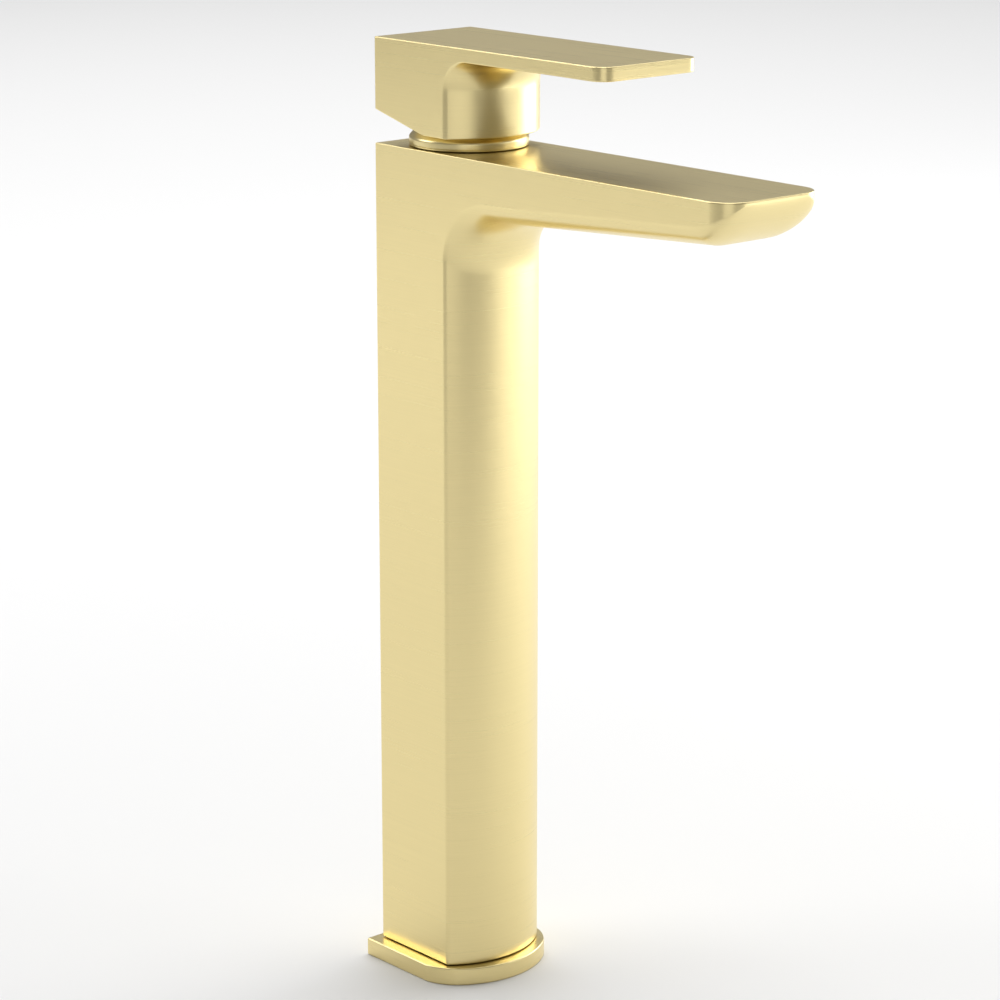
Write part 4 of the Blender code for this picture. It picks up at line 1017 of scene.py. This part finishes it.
@dataclass
class BasePlate(Piece):
    """Cover plate under the column: square rear corners, round front, eased edges, with its seal below."""

    side_edge: float = -9.6 * MM
    front: float = -22.5 * MM
    rear_corner: float = 0.6 * MM
    front_corner: float = 5.0 * MM
    edge: float = 0.55 * MM
    opening: float = 15.4 * MM

    def outline(self) -> Array:
        """Plan of the plate, evenly spaced around, starting at the rear.

        Returns:
            Closed loop of shape (points, 2).
        """
        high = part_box("base_plate")[1]
        half = high.x
        x = np.linspace(-half, half, 41)
        front = np.column_stack((x, round_front(x, half, self.side_edge, self.front)))
        keep = np.abs(x) < half - self.front_corner
        inner = front[keep]
        corners = []
        for side in (-1.0, 1.0):
            handle = np.array((side * half, self.side_edge))
            above = np.array((side * half, self.side_edge + self.front_corner))
            at = side * (half - self.front_corner)
            below = np.array((at, float(round_front(np.array(at), half, self.side_edge, self.front))))
            t = np.linspace(0.0, 1.0, 14)[:, None]
            bend = above * (1 - t) ** 2 + handle * 2 * t * (1 - t) + below * t**2
            corners.append(bend if side < 0 else bend[::-1])
        r = self.rear_corner
        rear_right = arc((half - r, high.y - r), r, 0.0, 90.0, 6)
        rear_left = arc((r - half, high.y - r), r, 90.0, 180.0, 6)
        return np.concatenate((rear_right, rear_left, corners[0], inner, corners[1]))

    def rings(self) -> Array:
        """Stack of closed loops: up the outer wall, over the eased edge, in to the opening and back below.

        Each loop has the outline's points, moved inwards along their normals, or points at the same bearing
        on the opening's circle.

        Returns:
            Array of shape (loops, points, 3).
        """
        low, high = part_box("base_plate")
        loop = self.outline()
        normal = plan_normals(loop)
        bearing = np.arctan2(loop[:, 1], loop[:, 0])
        circle = np.stack((np.cos(bearing), np.sin(bearing)), axis=-1)
        turned_by = np.linspace(0.0, pi / 2, 6)
        layers = [(loop - normal * self.edge * (1 - sin(t)), low.z + self.edge * (1 - cos(t)))
                  for t in turned_by]
        layers += [(loop - normal * self.edge * (1 - cos(t)), high.z - self.edge * (1 - sin(t)))
                   for t in turned_by]
        gasket_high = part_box("base_gasket")[1]
        outer, groove = gasket_high.x + 0.3 * MM, gasket_high.z + 0.3 * MM
        inner = outer - 3.0 * MM
        layers += [(circle * self.opening, high.z), (circle * self.opening, low.z)]
        layers += [(circle * inner, low.z), (circle * inner, groove)]
        layers += [(circle * outer, groove), (circle * outer, low.z)]
        return np.stack([np.column_stack((xy, np.full(len(xy), height))) for xy, height in layers])

    def build(self) -> bpy.types.Object:
        """Makes the plate and its seal.

        Returns:
            The finished plate.
        """
        rings = self.rings()
        plate = make_mesh("base_plate_brass", rings.reshape(-1, 3),
                          grid_quads(rings.shape[0], rings.shape[1], wrap_rows=True, wrap_cols=True))
        smooth(plate)
        low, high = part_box("base_gasket")
        soft = 0.3 * MM
        inner = high.x - 2.4 * MM
        profile = rounded(((high.x, high.z, soft), (high.x, low.z, soft), (inner, low.z, soft),
                           (inner, high.z, soft)))
        gasket = turn("base_gasket_rubber", profile, 128)
        smooth(gasket)
        self.settle(gasket, Slot.RUBBER, Body.FIXED, "base_gasket")
        return self.settle(plate, Slot.BRUSHED, Body.FIXED, "base_plate")


# ---------------------------------------------------------------- collar and nut


@dataclass
class Collar(Piece):
    """Round collar over the nut: a low wall, an eased shoulder, and a dome that the handle tilts over."""

    wall_height: float = 2.7 * MM
    shoulder: float = 1.5 * MM
    foot_edge: float = 0.2 * MM
    groove: tuple[float, float] = (0.45 * MM, 0.15 * MM)
    thread: float = 12.3 * MM

    def build(self) -> bpy.types.Object:
        """Makes the collar.

        The dome is part of a sphere centred on the lever's pivot, so that its gap to the handle stays even.
        The shoulder is an arc that touches the wall and the dome from inside: its centre lies R - f from the
        pivot and f inside the wall.

        Returns:
            The finished collar.
        """
        low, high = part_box("collar_ring")
        pivot = (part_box("stem_pin")[0].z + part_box("stem_pin")[1].z) / 2
        radius = float(np.hypot(high.x, low.z + self.wall_height - pivot))
        inset = high.x - self.shoulder
        lift = float(np.sqrt((radius - self.shoulder) ** 2 - inset**2))
        join = float(np.degrees(np.arctan2(lift, inset)))
        dome = arc((0.0, pivot), radius, float(np.degrees(asin((high.z - pivot) / radius))), join, 20)
        shoulder = arc((inset, pivot + lift), self.shoulder, join, 0.0, 10)
        rise, depth = self.groove
        cut = np.array(((high.x, low.z + rise + 2 * depth), (high.x - depth, low.z + rise + depth),
                        (high.x, low.z + rise)))
        foot = arc((high.x - self.foot_edge, low.z + self.foot_edge), self.foot_edge, 0.0, -90.0, 5)
        inside = np.array(((self.thread, low.z), (self.thread, high.z)))
        collar = turn("collar_ring_brass", np.concatenate((dome, shoulder, cut, foot, inside)), 160)
        smooth(collar)
        return self.settle(collar, Slot.BRUSHED, Body.FIXED, "collar_ring")


# ---------------------------------------------------------------- outlet


@dataclass
class Aerator(Piece):
    """Outlet in the spout: a ridged sleeve with key notches, its perforated insert and its washer.

    Heights run up the outlet's axis from the spout's underside.
    """

    place: Matrix
    recess: float = 0.4 * MM
    height: float = 5.6 * MM
    wall: float = 1.5 * MM
    sill: float = 0.9 * MM
    gap: float = 0.3 * MM
    insert_thickness: float = 2.4 * MM
    washer_height: float = 1.4 * MM
    hole_radius: float = 0.62 * MM
    hole_rings: tuple[tuple[int, float], ...] = ((1, 0.0), (6, 2.6 * MM), (12, 5.2 * MM))
    ridge: float = 0.22 * MM
    notch: tuple[float, float] = (1.6 * MM, 0.5 * MM)

    def sleeve(self, outer: float) -> bpy.types.Object:
        """Turned sleeve: ridged above, eased rim below, and a sill that carries the insert.

        Args:
            outer: Its outer radius.

        Returns:
            The sleeve in its place.
        """
        inner, bottom, top = outer - self.wall, self.recess, self.recess + self.height
        hole, ledge, soft = inner - self.sill, bottom + self.sill, 0.25 * MM
        height = np.linspace(top - 0.3 * MM, bottom + 1.8 * MM, 19)
        ridges = np.column_stack((outer - self.ridge * (np.arange(19) % 2), height))
        rim = np.array(((outer, bottom + soft), (outer - soft, bottom), (hole + soft, bottom),
                        (hole, bottom + soft), (hole, ledge), (inner, ledge), (inner, top),
                        (outer - self.ridge, top)))
        sleeve = turn("aerator_sleeve_brass", np.concatenate((ridges, rim)), 96)
        width, depth = self.notch
        reach = outer + MM
        slabs = [slab("notch", Vector((-x, -y, bottom - MM)), Vector((x, y, bottom + depth)))
                 for x, y in ((reach, width / 2), (width / 2, reach))]
        carve(sleeve, slabs)
        return sleeve

    def insert(self, outer: float) -> bpy.types.Object:
        """Perforated disc that shapes the stream.

        Args:
            outer: Its outer radius.

        Returns:
            The insert, not yet in its place.
        """
        low = self.recess + self.sill + self.gap
        high = low + self.insert_thickness
        disc = turn("aerator_insert_white", rounded(((0.0, high, 0.0), (outer, high, 0.25 * MM),
                                                     (outer, low, 0.25 * MM), (0.0, low, 0.0))), 72)
        centres = [arc((0.0, 0.0), radius, 0.0, 360.0 * (count - 1) / count, count)
                   for count, radius in self.hole_rings]
        carve(disc, [bundle("holes", np.concatenate(centres), self.hole_radius, low - MM, high + MM)])
        return disc

    def build(self) -> None:
        """Makes the sleeve, the insert and the washer."""
        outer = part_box("aerator_sleeve")[1].x
        washer_low = self.recess + self.height + self.gap
        washer_high, soft = washer_low + self.washer_height, 0.3 * MM
        inner = outer - self.wall
        washer = turn("aerator_washer_rubber", rounded((
            (outer, washer_high, soft), (outer, washer_low, soft), (inner, washer_low, soft),
            (inner, washer_high, soft))), 72)
        pieces = ((self.sleeve(outer), Slot.BRUSHED, "aerator_sleeve"),
                  (self.insert(inner - self.gap), Slot.WHITE, "aerator_insert"),
                  (washer, Slot.RUBBER, "aerator_washer"))
        for obj, slot, name in pieces:
            obj.data.transform(self.place)
            smooth(obj, weighted=False)
            self.settle(obj, slot, Body.FIXED, name)


# ---------------------------------------------------------------- handle screw and cap


@dataclass
class HandleScrew(Piece):
    """Set screw that clamps the handle to the stem, and the eased plug over its hole."""

    socket_radius: float = 0.95 * MM
    socket_depth: float = 2.0 * MM
    edge: float = 0.35 * MM

    def build(self) -> None:
        """Makes the screw and the plug, both along y at the rear of the handle."""
        low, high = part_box("handle_grub_screw")
        on_axis = Vector((0.0, 0.0, (low.z + high.z) / 2))
        screw = threaded("handle_grub_screw_steel", high.x, low.y, high.y, Axis.ALONG_Y, on_axis, 0.5 * MM,
                         0.22 * MM, 32)
        carve(screw, [cylinder("key", self.socket_radius, high.y - self.socket_depth, high.y + MM, on_axis,
                               Axis.ALONG_Y, 6)])
        smooth(screw, weighted=False)
        self.settle(screw, Slot.STEEL, Body.LEVER, "handle_grub_screw")
        low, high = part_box("screw_cap")
        profile = rounded(((0.0, high.y, 0.0), (high.x, high.y, self.edge), (high.x, low.y, self.edge),
                           (0.0, low.y, 0.0)))
        cap = turn("screw_cap_brass", profile, 72, Axis.ALONG_Y, on_axis)
        smooth(cap)
        self.settle(cap, Slot.BRUSHED, Body.LEVER, "screw_cap")


# ---------------------------------------------------------------- deck fixing


@dataclass
class FixingKit(Piece):
    """What clamps the mixer under the deck: threaded stud, two horseshoe washers and a hexagon nut."""

    gap_half: float = 10.5 * MM
    gap_corner: float = 2.0 * MM
    stud_margin: float = 4.8 * MM
    bore_gap: float = 0.3 * MM
    bore_chamfer: float = 0.4 * MM
    face_share: float = 0.96  # of the nut's flat width, where its end faces' chamfer starts

    def stud_centre(self) -> Vector:
        """Point on the stud's axis at height zero."""
        low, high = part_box("fixing_stud")
        return Vector(((low.x + high.x) / 2, (low.y + high.y) / 2, 0.0))

    def horseshoe(self, name: str, piece_name: str, slot: Slot, edge: float) -> None:
        """Disc with a gap for the hoses, open to the front, and a hole for the stud.

        Args:
            name: CAD node that it stands for.
            piece_name: Name of the new piece.
            slot: Its slot.
            edge: Radius of its edges.
        """
        low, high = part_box(name)
        stud = self.stud_centre()
        half, r, end = self.gap_half, self.gap_corner, stud.y - self.stud_margin
        start = float(np.degrees(asin(half / high.x)))
        loop = np.concatenate((arc((0.0, 0.0), high.x, start - 90.0, 270.0 - start, 121),
                               arc((r - half, end - r), r, 180.0, 90.0, 8),
                               arc((half - r, end - r), r, 90.0, 0.0, 8)))
        plate = eased_slab(piece_name, loop, low.z, high.z, edge)
        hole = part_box("fixing_stud")[1].x + self.bore_gap
        carve(plate, [cylinder("hole", hole, low.z - MM, high.z + MM, stud, steps=48)])
        smooth(plate, weighted=False)
        self.settle(plate, slot, Body.FIXED, name)

    def nut(self) -> None:
        """Hexagon nut: the hexagon's radius is R cos 30 / cos(a'), a' being the angle from the nearest flat.

        Both faces are cut by a 30 degree cone, so the chamfer runs deepest at the corners.
        """
        low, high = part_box("fixing_nut")
        angle = np.linspace(0.0, 2 * pi, 96, endpoint=False)
        flat = high.x
        hexagon = flat / np.cos(np.mod(angle + pi / 6, pi / 3) - pi / 6)
        face = np.full_like(angle, flat * self.face_share)
        drop = (hexagon - face) * np.tan(pi / 6)
        bore = np.full_like(angle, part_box("fixing_stud")[1].x + self.bore_gap)
        c, zero = self.bore_chamfer, np.zeros_like(angle)
        radius = np.stack((bore, bore + c, face, hexagon, hexagon, face, bore + c, bore), axis=-1)
        height = np.stack((zero + low.z + c, zero + low.z, zero + low.z, low.z + drop, high.z - drop,
                           zero + high.z, zero + high.z, zero + high.z - c), axis=-1)
        turned = angle[:, None]
        points = np.stack((radius * np.cos(turned), radius * np.sin(turned), height), axis=-1).reshape(-1, 3)
        nut = make_mesh("fixing_nut_brass", points + np.array(self.stud_centre()),
                        grid_quads(len(angle), radius.shape[1], wrap_rows=True, wrap_cols=True))
        smooth(nut, 25.0, weighted=False)
        self.settle(nut, Slot.RAW, Body.FIXED, "fixing_nut")

    def build(self) -> None:
        """Makes the four pieces."""
        low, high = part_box("fixing_stud")
        stud = threaded("fixing_stud_steel", high.x, low.z, high.z, Axis.UP, self.stud_centre())
        smooth(stud, weighted=False)
        self.settle(stud, Slot.STEEL, Body.FIXED, "fixing_stud")
        self.horseshoe("horseshoe_rubber", "horseshoe_rubber_pad", Slot.RUBBER, 0.5 * MM)
        self.horseshoe("horseshoe_plate", "horseshoe_steel_plate", Slot.STEEL, 0.25 * MM)
        self.nut()


# ---------------------------------------------------------------- studio


@dataclass
class Studio:
    """Pale floor, soft lights and the camera."""

    azimuth: float = -41.37
    elevation: float = 14.84
    distance: float = 1.07569
    lens: float = 117.06
    sensor: float = 36.0
    target: tuple[float, float, float] = (0.00939, -0.00432, 0.1612)
    floor_half: float = 6.0
    floor_color: tuple[float, float, float, float] = (0.80, 0.80, 0.80, 1.0)

    def floor(self) -> None:
        """Large plain pale floor at the deck plane, which isn't part of the object."""
        half = self.floor_half
        corners = np.array(((-half, -half, 0.0), (half, -half, 0.0), (half, half, 0.0), (-half, half, 0.0)))
        floor = make_mesh("floor", corners, np.array(((0, 1, 2, 3),)))
        material, _, shader = start_material("pale_floor")
        shader.inputs["Base Color"].default_value = self.floor_color
        shader.inputs["Roughness"].default_value = 0.8
        floor.data.materials.append(material)

    def light(self, name: str, place: tuple[float, float, float], size: tuple[float, float], power: float,
              aim: tuple[float, float, float] = (0.0, 0.0, 0.15)) -> None:
        """One rectangular soft light.

        Args:
            name: Its name.
            place: Where it hangs, in metres.
            size: Its width and height.
            power: Its power in watts.
            aim: Point that it faces.
        """
        data = bpy.data.lights.new(name, "AREA")
        data.shape = "RECTANGLE"
        data.size, data.size_y = size
        data.energy = power
        lamp = bpy.data.objects.new(name, data)
        bpy.context.scene.collection.objects.link(lamp)
        lamp.location = place
        lamp.rotation_euler = (Vector(aim) - Vector(place)).to_track_quat("-Z", "Y").to_euler()

    def world(self, level: float) -> None:
        """Even grey surroundings."""
        world = bpy.data.worlds.new("studio")
        world.use_nodes = True
        world.node_tree.nodes["Background"].inputs["Color"].default_value = (1.0, 1.0, 1.0, 1.0)
        world.node_tree.nodes["Background"].inputs["Strength"].default_value = level
        bpy.context.scene.world = world

    def camera(self) -> None:
        """Camera around the target at the given bearing."""
        a, e = radians(self.azimuth), radians(self.elevation)
        back = Vector((sin(a) * cos(e), -cos(a) * cos(e), sin(e)))
        data = bpy.data.cameras.new("camera")
        data.lens, data.sensor_width = self.lens, self.sensor
        data.clip_start, data.clip_end = 0.01, 50.0
        camera = bpy.data.objects.new("camera", data)
        bpy.context.scene.collection.objects.link(camera)
        camera.location = Vector(self.target) + back * self.distance
        camera.rotation_mode = "QUATERNION"
        camera.rotation_quaternion = (-back).to_track_quat("-Z", "Y")
        bpy.context.scene.camera = camera

    def build(self) -> None:
        """Sets the whole studio."""
        self.floor()
        self.world(0.25)
        self.light("overhead_back", (1.2, 1.4, 3.0), (3.6, 3.6), 118.0, (1.2, 1.4, 0.0))
        self.light("right", (1.55, -0.3, 0.5), (1.2, 1.0), 13.0)
        self.light("left_back", (-1.2, 1.3, 1.0), (1.0, 1.0), 10.0, (-0.9, 1.0, 0.0))
        self.light("front_low", (-1.15, -1.3, 0.3), (1.2, 0.7), 2.0)
        self.light("front_right_low", (1.0, -1.15, 0.5), (0.8, 0.8), 8.0, (1.0, -1.15, 0.0))
        self.camera()
        bpy.context.scene.view_settings.view_transform = "Standard"


def dress_frame(finishes: Finishes) -> None:
    """Gives each CAD node that still shows the finish of its slot."""
    slots = {row["node"]: row["material_slot"] for row in frame["record"]["subparts"]}
    for name, obj in frame["nodes"].items():
        if not obj.hide_render:
            finishes.dress(obj, Slot(slots[name]))
            obj.data.shade_smooth()
            obj.data.set_sharp_from_angle(angle=radians(35.0))


def main() -> None:
    """Builds the mixer's sub-assemblies and the studio, in order."""
    logging.basicConfig(level=logging.INFO, format="%(name)s: %(message)s")
    finishes = Finishes().build()
    casting = BodyCasting(finishes)
    casting.build()
    BasePlate(finishes).build()
    Collar(finishes).build()
    Handle(finishes).build()
    Aerator(finishes, casting.outlet_frame()).build()
    HandleScrew(finishes).build()
    FixingKit(finishes).build()
    dress_frame(finishes)
    Studio().build()


if __name__ == "__main__":
    main()
